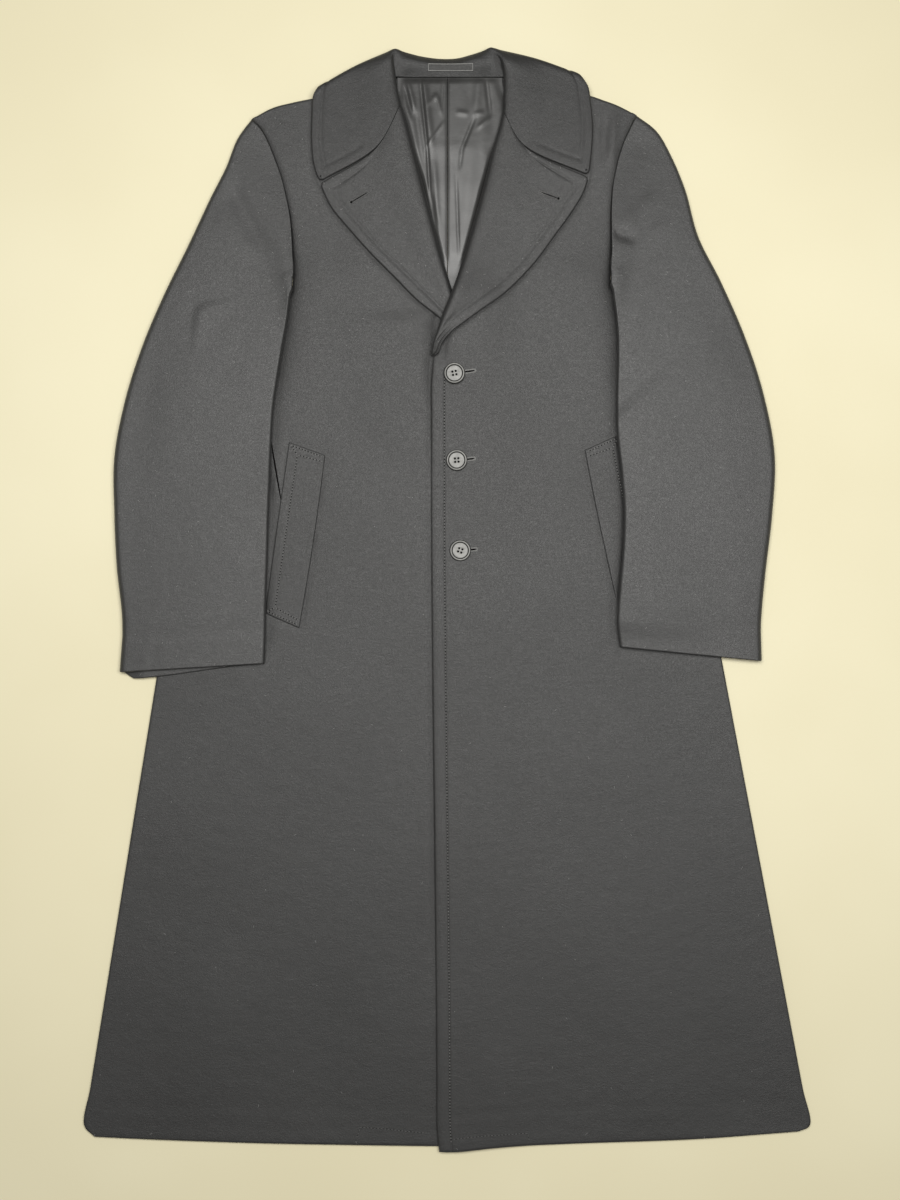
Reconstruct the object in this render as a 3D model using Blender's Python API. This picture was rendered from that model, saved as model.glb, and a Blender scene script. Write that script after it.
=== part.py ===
"""A long single-breasted wool overcoat, laid on its back.

The coat lies on the plane z = 0 with its collar towards +Y and its hem towards -Y.
Left and right are those of someone who looks down on it, with +X to the right.
Sizes are in millimetres, and are turned into metres when a mesh is made.
Each cloth piece is a closed wall. Panels lie on each other, from the back panels
on the ground, through the fronts, to the lapels, the collar and the sleeves.
"""

import math

import bmesh
import bpy
from mathutils import Vector
from mathutils.geometry import tessellate_polygon

MM = 0.001

# Driving sizes of the coat
COAT_SHIFT_X = -0.58
COAT_SHIFT_Y = 1.72
HEM_FRONT_Y = -627.5
HEM_TAPER = 300.0
CENTRE_X = 1.0
FRONT_EDGE_X = -17.5
FRONT_OVERLAP = 53.0
NECK_SEAM_Y = 598.6
NECK_CORNER_X = 52.0

# Cloth walls and the clearances between pieces
CLOTH = 2.5
CHEST_CLOTH = 3.4
PAD_EXTRA = 2.6
LAPEL_CLOTH = 3.2
COLLAR_CLOTH = 3.4
STAND_CLOTH = 2.4
SLEEVE_CLOTH = 2.4
LINING_CLOTH = 0.9
WELT_CLOTH = 2.2
SEAM_GAP = 0.3
LAYER_GAP = 0.6
RAMP_GAP = 0.9
RAMP_GAP_REACH = 30.0
REST_RAMP_SHARE = 1.3

# Rolled edges of the collar and the lapels
ROLL_START = 8.0
ROLL_START_SHARE = 0.5
ROLL_UNDER = 5.8
MIDDLE_RISE_SHARE = 0.12
ROLL_LEG = 11.0
ROLL_TOP_RISE = 5.2
LOW_ROLL_RISE = 1.3
RISE_FADE = (0.45, 1.0)
COLLAR_LEG_TRIM = 0.8
PEAK_RISE = 6.5
PEAK_STAND = 0.45
STAND_SEAM_LIFT = 3.2
TURN_ANGLES = (30.0, 60.0, 90.0, 120.0, 150.0, 180.0)
TURN_SPAN = 215.0
TURN_EVENING = 3
NEAR_BACK = (0.5, 1.4)

NORMAL_EVENING = 2

# Steps of a rolled section in each of its five spans, from the seam to the outer edge
SECTION_COUNTS = (2, 2, 2, 4, 3)

# Where the chest is lined and where the shoulder is padded
CHEST_LOW_Y = 150.0
CHEST_HIGH_Y = 300.0
LINED_LOW_Y = 235.0
LINED_HIGH_Y = 300.0
LINED_HALF_WIDTH = 88.0
LINED_FADE = 45.0
LINING_LOW_Y = 322.0
LINING_ROWS = 15
LINING_COLUMNS = 5
LINING_REACH = 7.0
LINING_CORNER_Y = (565.0, 594.0)
LINING_TOP_Y = 590.0
PAD_RADIUS = 40.0
PAD_FADE = 100.0

# The collar's fall under the back: its lower edge is an arc, y = low + rise * (x / half width)^2
FALL_LOW_Y = 533.0
FALL_RISE = 53.0
FALL_HALF_WIDTH = 156.0
FALL_LIFT = 4.4
FALL_RAMP = 60.0
FALL_RAMP_END = 12.0

# The break, where the top front passes over the under lapel: middle and half sizes in plan
BREAK_MIDDLE = (3.0, 334.0)
BREAK_SIZE = (19.0, 34.0)
BREAK_FADE = 1.8
BREAK_EXTRA = 3.6
BREAK_GAP = 0.8

# How far the under front lifts the top front past its own edge, and where that ends below the neck
UNDER_STEP = (4.0, 24.0)
UNDER_END_Y = (340.0, 400.0)

# Heights of the rows that cross the skirt and the body, up to the underarm
SKIRT_Y = (-603.0, -560.0, -480.0, -400.0, -320.0, -240.0, -160.0, -80.0, 0.0, 80.0, 150.0, 210.0, 255.0, 288.0)

# Columns of the panels, as shares of the way from the side to the inner edge
BACK_SHARES = (0.0, 0.02, 0.08, 0.17, 0.27, 0.37, 0.47, 0.57, 0.67, 0.77, 0.88, 1.0)
FRONT_SHARES = {
    "left": (0.0, 0.02, 0.09, 0.18, 0.28, 0.38, 0.48, 0.58, 0.68, 0.78, 0.87, 0.94, 1.0),
    "right": (0.0, 0.02, 0.09, 0.18, 0.28, 0.38, 0.48, 0.58, 0.68, 0.78, 0.83, 0.87, 0.905, 0.95, 1.0),
}

# Underarm, the bend above it and the hem's corner: (x, y)
UNDERARM = {"left": (-266.7, 319.0), "right": (242.6, 319.0)}
UNDERARM_BEND = {"left": (-222.0, 331.0), "right": (214.0, 333.0)}
HEM_CORNER = {"left": (-416.0, -604.0), "right": (417.0, -603.0)}

# Armhole seam from the underarm fold up to the shoulder point: (x, y)
ARMHOLE = {
    "left": (
        (-179.3, 355.1), (-176.6, 387.1), (-177.4, 416.9), (-180.0, 442.1), (-185.0, 466.2),
        (-190.0, 485.6), (-197.0, 505.1), (-205.6, 526.2), (-213.5, 540.0), (-223.5, 550.0),
    ),
    "right": (
        (190.1, 360.8), (189.6, 395.2), (189.0, 426.1), (189.0, 446.1), (190.9, 473.7),
        (194.4, 492.5), (197.3, 505.1), (203.0, 523.0), (210.7, 540.0), (218.0, 554.5),
    ),
}

# Shoulder line from the armhole to the neck point: (x, y)
SHOULDER = {
    "left": ((-223.5, 550.0), (-199.0, 563.0), (-177.0, 568.7), (-154.0, 573.5), (-99.0, 587.0), (-70.5, 596.5)),
    "right": ((218.0, 554.5), (194.3, 566.4), (179.4, 571.6), (164.5, 576.7), (113.0, 590.5), (80.5, 600.0)),
}

# Hem from the side to the front edge: (x, y)
HEM = {
    "left": ((-404.0, -616.0), (-340.0, -619.0), (-210.0, -623.5), (-110.0, -625.5), (36.0, -627.5)),
    "right": ((404.0, -610.0), (290.0, -618.5), (130.0, -624.5), (54.0, -628.5), (-9.0, -633.0)),
}

# Where the straight front edge ends, in three points up to the lapel's leg: (x, y)
EDGE_TOP = {
    "left": ((35.5, 255.0), (35.5, 296.0), (23.0, 314.0)),
    "right": ((-17.5, 274.0), (-16.0, 299.6), (-0.8, 302.0)),
}
# The lowest point of the right lapel's leg, and the roll points that each front's edge leaves out
LOW_SEAM = {"left": None, "right": (-1.6, 303.2)}
EDGE_SKIPS = {"left": 0, "right": 1}

# Lapels, a row for each section from the gorge seam down:
# (roll_x, roll_y, middle_x, middle_y, edge_x, edge_y)
LAPEL = {
    "left": (
        (-52.2, 565.6, -79.3, 516.4, -144.6, 475.6),
        (-46.3, 546.1, -85.1, 495.9, -140.0, 463.9),
        (-38.3, 516.4, -82.8, 471.9, -130.8, 446.7),
        (-29.1, 483.3, -71.4, 446.7, -114.8, 427.3),
        (-17.7, 439.9, -55.4, 412.5, -87.4, 396.5),
        (-7.4, 399.9, -36.0, 381.6, -60.0, 369.0),
        (1.7, 370.2, -16.6, 356.5, -32.6, 341.6),
        (9.7, 345.0, 0.2, 335.6, -9.2, 323.6),
        (16.6, 326.8, 9.7, 320.4, 3.6, 311.6),
    ),
    "right": (
        (64.6, 557.6, 87.4, 518.6, 162.5, 482.6),
        (61.1, 542.2, 99.9, 498.8, 156.9, 465.7),
        (53.1, 515.9, 98.7, 474.8, 145.5, 446.3),
        (43.9, 479.4, 88.5, 446.3, 125.0, 417.7),
        (31.4, 433.7, 67.9, 410.9, 96.5, 385.8),
        (18.8, 390.4, 45.1, 374.4, 66.8, 350.4),
        (7.4, 356.1, 24.5, 342.4, 39.4, 327.6),
        (-2.8, 329.9, 9.4, 322.9, 19.6, 313.9),
        (-13.8, 302.0, -5.0, 301.2, 3.0, 300.5),
    ),
}

# Collar flaps that show on the fronts, from the gorge seam up to the shoulder fold:
# (roll_x, roll_y, middle_x, middle_y, edge_x, edge_y, seam_x, seam_y)
COLLAR = {
    "left": (
        (-52.6, 566.6, -80.4, 517.1, -145.6, 477.0, -65.0, 565.0),
        (-54.8, 579.5, -98.7, 536.2, -152.3, 498.5, -66.5, 577.0),
        (-57.0, 593.2, -105.5, 556.7, -154.6, 527.0, -66.5, 587.0),
        (-58.7, 606.9, -107.8, 578.4, -154.0, 555.6, -65.5, 594.0),
        (-60.2, 618.5, -106.7, 596.0, -151.7, 573.2, -62.0, 598.5),
    ),
    "right": (
        (65.0, 558.6, 88.4, 519.5, 162.6, 484.2, 77.0, 559.0),
        (64.5, 573.8, 112.4, 540.7, 166.0, 513.4, 77.0, 572.0),
        (64.5, 588.7, 118.1, 562.4, 167.1, 541.9, 75.0, 583.0),
        (64.0, 602.3, 115.8, 584.1, 164.9, 565.1, 72.0, 592.0),
        (60.5, 616.3, 112.4, 601.5, 158.0, 582.7, 66.0, 598.0),
    ),
}

# The collar's fold over each shoulder, in plan: peak, middle and outer end of the outline
SHOULDER_FOLD = {
    "left": ((-69.0, 627.0), (-103.2, 611.0), (-146.6, 586.7)),
    "right": ((61.5, 629.5), (101.0, 619.0), (146.0, 603.0)),
}
PEAK = {"left": (-59.6, 628.4, 21.5), "right": (51.2, 629.4, 21.5)}
PEAK_SHARE = 0.3
PEAK_FACE_SHARE = 0.72

# The stand behind the neck: how far its top and its underside lie in from the crest,
# and how much wider the fall spreads at its lower edge, in the middle and at the peaks
CREST_TOP_INSET = 9.0
CREST_UNDER_INSET = 8.5
FALL_SPREAD = (1.4, 2.66)

# The crest of the collar behind the neck, a row for each section: (x, crest_y, top_z)
BACK_CREST = (
    (-46.0, 624.5, 18.0),
    (-30.0, 620.0, 14.5),
    (-8.0, 617.0, 12.6),
    (12.0, 618.0, 12.6),
    (28.0, 623.0, 14.5),
    (41.0, 627.5, 18.0),
)

# Sleeves, a row for each ring from the armhole to the cuff:
# (inner_x, inner_y, outer_x, outer_y, share of the armhole's curve, height)
SLEEVE = {
    "left": (
        (-179.3, 355.1, -223.5, 550.0, 1.0, 9.4),
        (-181.2, 337.1, -239.1, 527.4, 0.8, 9.4),
        (-184.0, 315.3, -251.7, 495.3, 0.55, 8.8),
        (-188.0, 292.4, -268.9, 460.9, 0.3, 8.0),
        (-192.6, 263.7, -294.1, 407.0, 0.12, 7.4),
        (-198.4, 223.6, -322.8, 348.6, 0.0, 7.0),
        (-201.2, 183.4, -348.0, 288.9, 0.0, 7.0),
        (-203.0, 137.6, -367.5, 227.0, 0.0, 7.0),
        (-204.7, 91.7, -379.5, 162.8, 0.0, 7.0),
        (-205.8, 45.9, -379.5, 100.9, 0.0, 7.0),
        (-207.5, 0.0, -376.7, 39.0, 0.0, 7.0),
        (-208.1, -40.1, -370.3, -25.2, 0.0, 6.8),
        (-209.3, -72.8, -373.2, -82.6, 0.0, 6.6),
    ),
    "right": (
        (190.1, 360.8, 218.0, 554.5, 1.0, 9.4),
        (192.0, 344.0, 240.2, 536.6, 0.8, 9.4),
        (194.9, 323.3, 255.1, 511.4, 0.55, 8.8),
        (196.6, 300.4, 272.3, 470.1, 0.3, 8.0),
        (196.6, 272.9, 287.2, 416.2, 0.12, 7.4),
        (195.5, 235.0, 313.6, 363.5, 0.0, 7.0),
        (195.5, 192.6, 341.1, 300.4, 0.0, 7.0),
        (200.1, 149.1, 361.7, 237.3, 0.0, 7.0),
        (203.5, 105.5, 374.9, 166.2, 0.0, 7.0),
        (202.4, 59.6, 372.0, 97.5, 0.0, 7.0),
        (198.3, 11.5, 364.0, 28.7, 0.0, 7.0),
        (196.0, -25.2, 359.4, -25.2, 0.0, 6.8),
        (199.5, -53.9, 360.0, -69.9, 0.0, 6.6),
    ),
}
FOLD_ROUNDNESS = 0.35
SLEEVE_RAMP = 30.0
SLEEVE_RAMP_MARGIN = 14.0

# Pocket welts, corners in turn: opening side top, front side top, front side bottom, opening side bottom
WELT = {
    "left": ((-180.4, 181.0), (-139.2, 166.1), (-169.0, -32.1), (-208.5, -14.9)),
    "right": ((198.7, 190.1), (158.6, 171.8), (201.0, -25.2), (241.1, -6.9)),
}
WELT_BOW = 1.6
WELT_ROWS = 9
WELT_COLUMNS = 4

# The sleeve's rise over the right welt: how far past the welt's edge, and past its ends, it fades
WELT_STEP_X = (8.0, 28.0)
WELT_STEP_LOW = (40.0, 12.0)
WELT_STEP_HIGH = (10.0, 34.0)

# Buttons: (x, y, turned by, in degrees)
BUTTONS = ((9.0, 259.1, 12.0), (11.7, 160.0, 4.0), (15.7, 56.7, -20.0))
BUTTON_RADIUS = 12.2
BUTTON_HEIGHT = 4.0
BUTTON_RIM = 2.7
BUTTON_DISH = 1.1
BUTTON_HOLE_OFFSET = 1.95
BUTTON_HOLE_RADIUS = 0.95
BUTTON_RIM_SLOPE = 1.4
BUTTON_EDGE_DROP = 0.8
BUTTON_BACK_INSET = 3.0
BUTTON_SEGMENTS = 24
BUTTON_HOLE_SIDES = 6

# The bare label on the collar stand: (x, y) of its middle, width, height, thickness
LABEL_MIDDLE = (4.6, 608.8)
LABEL_SIZE = (52.0, 8.6, 0.6)
LABEL_GAP = 0.5
LABEL_COLUMNS = 6
LABEL_ROWS = 2

# Colours: (red, green, blue, roughness)
WOOL = (0.062, 0.062, 0.060, 0.92)
WOOL_COLLAR = (0.052, 0.052, 0.051, 0.92)
SATIN = (0.075, 0.075, 0.072, 0.38)
HORN = (0.16, 0.16, 0.165, 0.35)
LABEL_CLOTH = (0.10, 0.10, 0.10, 0.7)


def clear_scene():
    for old in list(bpy.data.objects):
        bpy.data.objects.remove(old, do_unlink=True)


def make_material(name, finish):
    red, green, blue, roughness = finish
    material = bpy.data.materials.new(name)
    material.use_nodes = True
    shader = material.node_tree.nodes["Principled BSDF"]
    shader.inputs["Base Color"].default_value = (red, green, blue, 1.0)
    shader.inputs["Roughness"].default_value = roughness
    shader.inputs["Metallic"].default_value = 0.0
    return material


def smooth(low, high, value):
    """0 below low, 1 above high, and a smooth step between."""
    share = min(max((value - low) / (high - low), 0.0), 1.0)
    return share * share * (3.0 - 2.0 * share)


def mix(a, b, share):
    return a + (b - a) * share


def mix_points(p, q, share):
    return tuple(mix(a, b, share) for a, b in zip(p, q))


def along(points, share):
    """The point at a share of a line through the points, by its length."""
    lengths = [math.dist(p, q) for p, q in zip(points, points[1:])]
    left = share * sum(lengths)
    for p, q, length in zip(points, points[1:], lengths):
        if left <= length:
            return mix_points(p, q, left / length)
        left -= length
    return points[-1]


def smooth_curve(points, counts):
    """A centripetal Catmull-Rom curve through 3-D points, with counts[i] steps in span i."""
    knots = [Vector(p) for p in points]
    first = knots[0] * 2.0 - knots[1]
    last = knots[-1] * 2.0 - knots[-2]
    knots = [first] + knots + [last]
    result = [knots[1].copy()]
    for i, count in enumerate(counts):
        p0, p1, p2, p3 = knots[i:i + 4]
        t1 = max((p1 - p0).length, 1e-6) ** 0.5
        t2 = t1 + max((p2 - p1).length, 1e-6) ** 0.5
        t3 = t2 + max((p3 - p2).length, 1e-6) ** 0.5
        for step in range(1, count + 1):
            t = mix(t1, t2, step / count)
            a1 = p0 * ((t1 - t) / t1) + p1 * (t / t1)
            a2 = p1 * ((t2 - t) / (t2 - t1)) + p2 * ((t - t1) / (t2 - t1))
            a3 = p2 * ((t3 - t) / (t3 - t2)) + p3 * ((t - t2) / (t3 - t2))
            b1 = a1 * ((t2 - t) / t2) + a2 * (t / t2)
            b2 = a2 * ((t3 - t) / (t3 - t1)) + a3 * ((t - t1) / (t3 - t1))
            result.append(b1 * ((t2 - t) / (t2 - t1)) + b2 * ((t - t1) / (t2 - t1)))
    return result


def sign_of(side):
    return -1.0 if side == "left" else 1.0


def fall_edge_y(x):
    """Lower edge of the collar's fall, under the back."""
    return FALL_LOW_Y + FALL_RISE * (x / FALL_HALF_WIDTH) ** 2


def fall_lift(x, y):
    """Height of the ground under the back panels, which climb over the collar's fall."""
    low_edge = fall_edge_y(x)
    return FALL_LIFT * smooth(low_edge - FALL_RAMP, low_edge - FALL_RAMP_END, y)


def ramp_gap(x, y):
    """Extra clearance where flat facets cross the ramp over the collar's fall."""
    low_edge = fall_edge_y(x)
    return RAMP_GAP * smooth(low_edge - FALL_RAMP - RAMP_GAP_REACH, low_edge - FALL_RAMP, y)


def lined(x, y):
    """1 where the fronts lie on the lining, 0 where they lie on the back panels."""
    across = 1.0 - smooth(LINED_HALF_WIDTH, LINED_HALF_WIDTH + LINED_FADE, abs(x - CENTRE_X))
    return across * smooth(LINED_LOW_Y, LINED_HIGH_Y, y)


def back_top(x, y):
    return fall_lift(x, y) + CLOTH


def cloth_at(side, x, y):
    """Wall of a front panel: thicker at the chest, thickest at the shoulder's end."""
    chest = (CHEST_CLOTH - CLOTH) * smooth(CHEST_LOW_Y, CHEST_HIGH_Y, y)
    shoulder_end = SHOULDER[side][0]
    far = math.dist((x, y), shoulder_end)
    pad = PAD_EXTRA * (1.0 - smooth(PAD_RADIUS, PAD_RADIUS + PAD_FADE, far))
    return CLOTH + chest + pad


def plain_front_base(x, y):
    """Underside of a front panel where nothing but back and lining is below it."""
    over_lining = (LINING_CLOTH + LAYER_GAP + ramp_gap(x, y)) * lined(x, y)
    return back_top(x, y) + SEAM_GAP + ramp_gap(x, y) + over_lining


def break_rise(side, x, y):
    """1 where the top front passes over the under lapel, 0 away from it."""
    if side == "left":
        return 0.0
    across = (x - BREAK_MIDDLE[0]) / BREAK_SIZE[0]
    up = (y - BREAK_MIDDLE[1]) / BREAK_SIZE[1]
    return 1.0 - smooth(1.0, BREAK_FADE, math.hypot(across, up))


def under_front_height(x, y):
    """How much the under front and its lapel lift the top front."""
    inner_edge = FRONT_EDGE_X + FRONT_OVERLAP
    panel = cloth_at("left", x, y) + LAYER_GAP
    lift = panel * (1.0 - smooth(inner_edge + UNDER_STEP[0], inner_edge + UNDER_STEP[1], x))
    lift *= 1.0 - smooth(*UNDER_END_Y, y)
    return lift + (LAPEL_CLOTH + BREAK_EXTRA) * break_rise("right", x, y)


def front_base(side, x, y):
    base = plain_front_base(x, y)
    if side == "right":
        base += under_front_height(x, y)
    return base


def front_top(side, x, y):
    return front_base(side, x, y) + cloth_at(side, x, y)


def new_object(name, points, faces, material, smooth_angle=50.0):
    mesh = bpy.data.meshes.new(name)
    scaled = [((x + COAT_SHIFT_X) * MM, (y + COAT_SHIFT_Y) * MM, z * MM) for x, y, z in points]
    mesh.from_pydata(scaled, [], faces)
    mesh.validate()
    work = bmesh.new()
    work.from_mesh(mesh)
    bmesh.ops.triangulate(work, faces=work.faces)
    bmesh.ops.recalc_face_normals(work, faces=work.faces)
    work.to_mesh(mesh)
    work.free()
    mesh.shade_smooth()
    mesh.set_sharp_from_angle(angle=math.radians(smooth_angle))
    mesh.materials.append(material)
    made = bpy.data.objects.new(name, mesh)
    bpy.context.scene.collection.objects.link(made)
    return made


def closed_wall(name, outer, inner, material, ring=False):
    """One closed solid between two grids of the same rows and columns.

    With ring set, each row closes on itself, so that the wall is a tube.
    """
    rows = len(outer)
    columns = len(outer[0])
    points = [tuple(p) for row in outer for p in row]
    points += [tuple(p) for row in inner for p in row]
    inner_start = rows * columns

    def at(layer, row, column):
        return layer * inner_start + row * columns + column % columns

    spans = columns if ring else columns - 1
    faces = []
    for row in range(rows - 1):
        for column in range(spans):
            a = (row, column)
            b = (row, column + 1)
            c = (row + 1, column + 1)
            d = (row + 1, column)
            faces.append([at(0, *p) for p in (a, b, c, d)])
            faces.append([at(1, *p) for p in (d, c, b, a)])
    for column in range(spans):
        faces.append([at(0, 0, column + 1), at(0, 0, column), at(1, 0, column), at(1, 0, column + 1)])
        last = rows - 1
        faces.append([at(0, last, column), at(0, last, column + 1), at(1, last, column + 1), at(1, last, column)])
    if not ring:
        for row in range(rows - 1):
            faces.append([at(0, row, 0), at(0, row + 1, 0), at(1, row + 1, 0), at(1, row, 0)])
            last = columns - 1
            faces.append([at(0, row + 1, last), at(0, row, last), at(1, row, last), at(1, row + 1, last)])
    return new_object(name, points, faces, material)


def plan_grid(side_points, edge_points, shares, top_points, hem_points, top_rows=6, hem_rows=2):
    """Plan points of a panel: straight rows from side to edge, bent to the hem and shoulder lines."""
    last = len(side_points) - 1

    def offset(line, row, share):
        straight = mix_points(side_points[row], edge_points[row], share)
        bent = along(line, share)
        return bent[0] - straight[0], bent[1] - straight[1]

    grid = []
    for row, (side_point, edge_point) in enumerate(zip(side_points, edge_points)):
        near_top = smooth(last - top_rows, last, row)
        near_hem = 1.0 - smooth(0, hem_rows, row)
        line = []
        for share in shares:
            x, y = mix_points(side_point, edge_point, share)
            top_x, top_y = offset(top_points, last, share)
            hem_x, hem_y = offset(hem_points, 0, share)
            line.append((x + near_top * top_x + near_hem * hem_x, y + near_top * top_y + near_hem * hem_y))
        grid.append(line)
    return grid


def laid_panel(name, grid, bottom, top, material):
    """A panel that lies flat: its wall stands straight up between two height functions."""
    upper = [[(x, y, top(x, y)) for x, y in row] for row in grid]
    lower = [[(x, y, bottom(x, y)) for x, y in row] for row in grid]
    return closed_wall(name, upper, lower, material)


def side_boundary(side):
    """Outline of a body panel from the hem's corner to the shoulder's end."""
    low = HEM[side][0]
    corner = HEM_CORNER[side]
    underarm = UNDERARM[side]
    points = [low]
    for y in SKIRT_Y:
        share = (y - corner[1]) / (underarm[1] - corner[1])
        points.append(mix_points(corner, underarm, share))
    points.append(underarm)
    points.append(UNDERARM_BEND[side])
    points.extend(ARMHOLE[side])
    return points


def roll_points(side):
    """The roll line from the break up to the peak: lapel rows, then collar rows."""
    lapel = [(row[0], row[1]) for row in reversed(LAPEL[side])]
    collar = [(row[0], row[1]) for row in COLLAR[side][1:]]
    return lapel + collar


def roll_at(side, y):
    """Where the roll line crosses a height y."""
    points = roll_points(side)
    for p, q in zip(points, points[1:]):
        if y <= q[1] or q == points[-1]:
            return mix(p[0], q[0], (y - p[1]) / (q[1] - p[1]))


def roll_normal(side, x, y):
    """Plan direction across the roll line at one of its points, pointing away from the neck."""
    points = roll_points(side)
    nearest = min(range(len(points)), key=lambda i: math.dist(points[i], (x, y)))
    p = points[max(nearest - 1, 0)]
    q = points[min(nearest + 1, len(points) - 1)]
    length = math.dist(p, q)
    sign = sign_of(side)
    return sign * (q[1] - p[1]) / length, -sign * (q[0] - p[0]) / length


def seam_point(side, roll, reach):
    """The point beside a roll point, at a distance across the roll line."""
    normal_x, normal_y = roll_normal(side, *roll)
    return roll[0] + normal_x * reach, roll[1] + normal_y * reach


def front_edge_points(side):
    """Inner edge of a front panel: the front edge, then the lapel's leg, up to the neck point."""
    straight_x = FRONT_EDGE_X if side == "right" else FRONT_EDGE_X + FRONT_OVERLAP
    hem_x = HEM[side][-1][0]
    points = [HEM[side][-1]]
    for y in SKIRT_Y[:-2]:
        points.append((mix(hem_x, straight_x, smooth(HEM_FRONT_Y, HEM_FRONT_Y + HEM_TAPER, y)), y))
    points.extend(EDGE_TOP[side])
    first = EDGE_SKIPS[side]
    room = len(side_boundary(side)) - len(points) - 1
    inset = ROLL_LEG + SEAM_GAP * 1.5
    for roll in roll_points(side)[first:first + room]:
        points.append(seam_point(side, roll, inset))
    points.append(SHOULDER[side][-1])
    return points


def front_grid(side):
    return plan_grid(
        side_boundary(side), front_edge_points(side), FRONT_SHARES[side], SHOULDER[side], HEM[side]
    )


def make_front(side, material):
    return laid_panel(
        "front_" + side,
        front_grid(side),
        lambda x, y: front_base(side, x, y),
        lambda x, y: front_top(side, x, y),
        material,
    )


def make_back(side, material):
    side_points = side_boundary(side)
    centre_x = CENTRE_X + sign_of(side) * SEAM_GAP / 2.0
    hem_y = HEM_FRONT_Y + 1.0
    last = len(side_points) - 1
    edge = []
    for row, point in enumerate(side_points):
        share = smooth(len(SKIRT_Y), last, row) if row > len(SKIRT_Y) else 0.0
        y = hem_y if row == 0 else point[1]
        edge.append((centre_x, mix(y, NECK_SEAM_Y - SEAM_GAP, share)))
    seam_y = NECK_SEAM_Y - SEAM_GAP
    top_line = list(SHOULDER[side]) + [(sign_of(side) * NECK_CORNER_X, seam_y), (centre_x, seam_y)]
    hem_line = [HEM[side][0], HEM[side][1], HEM[side][2], (centre_x, hem_y)]
    grid = plan_grid(side_points, edge, BACK_SHARES, top_line, hem_line)
    return laid_panel("back_" + side, grid, fall_lift, back_top, material)


def make_lining(side, material):
    """Half of the back lining, from the neck seam down to just past the lapels' crossing."""
    sign = sign_of(side)
    inner_x = CENTRE_X + sign * SEAM_GAP / 2.0
    grid = []
    for row in range(LINING_ROWS):
        y = mix(LINING_LOW_Y, NECK_SEAM_Y - SEAM_GAP, row / (LINING_ROWS - 1))
        open_x = abs(roll_at(side, min(y, LINING_TOP_Y)) - CENTRE_X)
        outer_x = CENTRE_X + sign * (open_x + LINING_REACH * (1.0 - smooth(*LINING_CORNER_Y, y)))
        last = LINING_COLUMNS - 1
        grid.append([(mix(inner_x, outer_x, column / last), y) for column in range(LINING_COLUMNS)])

    def bottom(x, y):
        return back_top(x, y) + SEAM_GAP + ramp_gap(x, y)

    return laid_panel(
        "lining_" + side, grid, bottom, lambda x, y: bottom(x, y) + LINING_CLOTH, material
    )


def evened_normal(normals, i, j):
    """A normal mixed with those of the sections before and after it."""
    before = normals[max(i - 1, 0)][j]
    after = normals[min(i + 1, len(normals) - 1)][j]
    return (normals[i][j] * 2.0 + before + after).normalized()


def offset_wall(grid, cloth, first_cloth=None):
    """Two grids, half the wall's thickness each side of a grid of middle points.

    The first columns may have a thinner wall, which grows to cloth over them.
    """
    rows = len(grid)
    columns = len(grid[0])
    normals = []
    for i in range(rows):
        line = []
        for j in range(columns):
            down = grid[min(i + 1, rows - 1)][j] - grid[max(i - 1, 0)][j]
            across = grid[i][min(j + 1, columns - 1)] - grid[i][max(j - 1, 0)]
            line.append(across.cross(down).normalized())
        normals.append(line)
    for _ in range(NORMAL_EVENING):
        normals = [[evened_normal(normals, i, j) for j in range(columns)] for i in range(rows)]
    outer = []
    inner = []
    for i in range(rows):
        halves = [cloth / 2.0] * columns
        if first_cloth is not None:
            halves = [mix(first_cloth, cloth, smooth(3.0, 7.0, j)) / 2.0 for j in range(columns)]
        outer.append([p + n * half for p, n, half in zip(grid[i], normals[i], halves)])
        inner.append([p - n * half for p, n, half in zip(grid[i], normals[i], halves)])
    return outer, inner


def rest_height(side, x, y, cloth):
    """Middle of a turned-back layer where it lies on the front."""
    clear = LAYER_GAP + REST_RAMP_SHARE * ramp_gap(x, y) + BREAK_GAP * break_rise(side, x, y)
    return front_top(side, x, y) + clear + cloth / 2.0


def rolled_section(side, roll, middle, edge, cloth, rise, seam=None, stand=0.0):
    """Control points of a section: leg on the front, round the roll, and out over the front."""
    half = cloth / 2.0
    if seam is None:
        seam = seam_point(side, roll, ROLL_LEG)
    seam_z = front_base(side, *seam) + half
    reach = math.dist(roll, middle)
    start = mix_points(roll, middle, min(ROLL_START / reach, ROLL_START_SHARE))
    start_z = rest_height(side, start[0], start[1], cloth) + rise
    crest = seam_point(side, roll, half)
    leg = mix_points(roll, seam, ROLL_UNDER / math.dist(roll, seam))
    leg_z = mix(front_base(side, *leg) + half, start_z, stand)
    return [
        (seam[0], seam[1], seam_z),
        (leg[0], leg[1], leg_z),
        (crest[0], crest[1], (leg_z + start_z) / 2.0),
        (start[0], start[1], start_z),
        (middle[0], middle[1], rest_height(side, middle[0], middle[1], cloth) + rise * MIDDLE_RISE_SHARE),
        (edge[0], edge[1], rest_height(side, edge[0], edge[1], cloth)),
    ]


def settle(section, side, cloth, first):
    """Keeps the outer part of a section on top of the front below it."""
    for index in range(first, len(section)):
        point = section[index]
        point.z = max(point.z, rest_height(side, point.x, point.y, cloth))
    return section


def lapel_sections(side):
    sections = []
    rows = LAPEL[side]
    for index, row in enumerate(rows):
        roll = (row[0], row[1])
        middle = (row[2], row[3])
        edge = (row[4], row[5])
        share = index / (len(rows) - 1)
        rise = mix(ROLL_TOP_RISE, LOW_ROLL_RISE, smooth(*RISE_FADE, share))
        seam = LOW_SEAM[side] if index == len(rows) - 1 else None
        points = rolled_section(side, roll, middle, edge, LAPEL_CLOTH, rise, seam)
        sections.append(settle(smooth_curve(points, SECTION_COUNTS), side, LAPEL_CLOTH, 6))
    return sections


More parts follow.
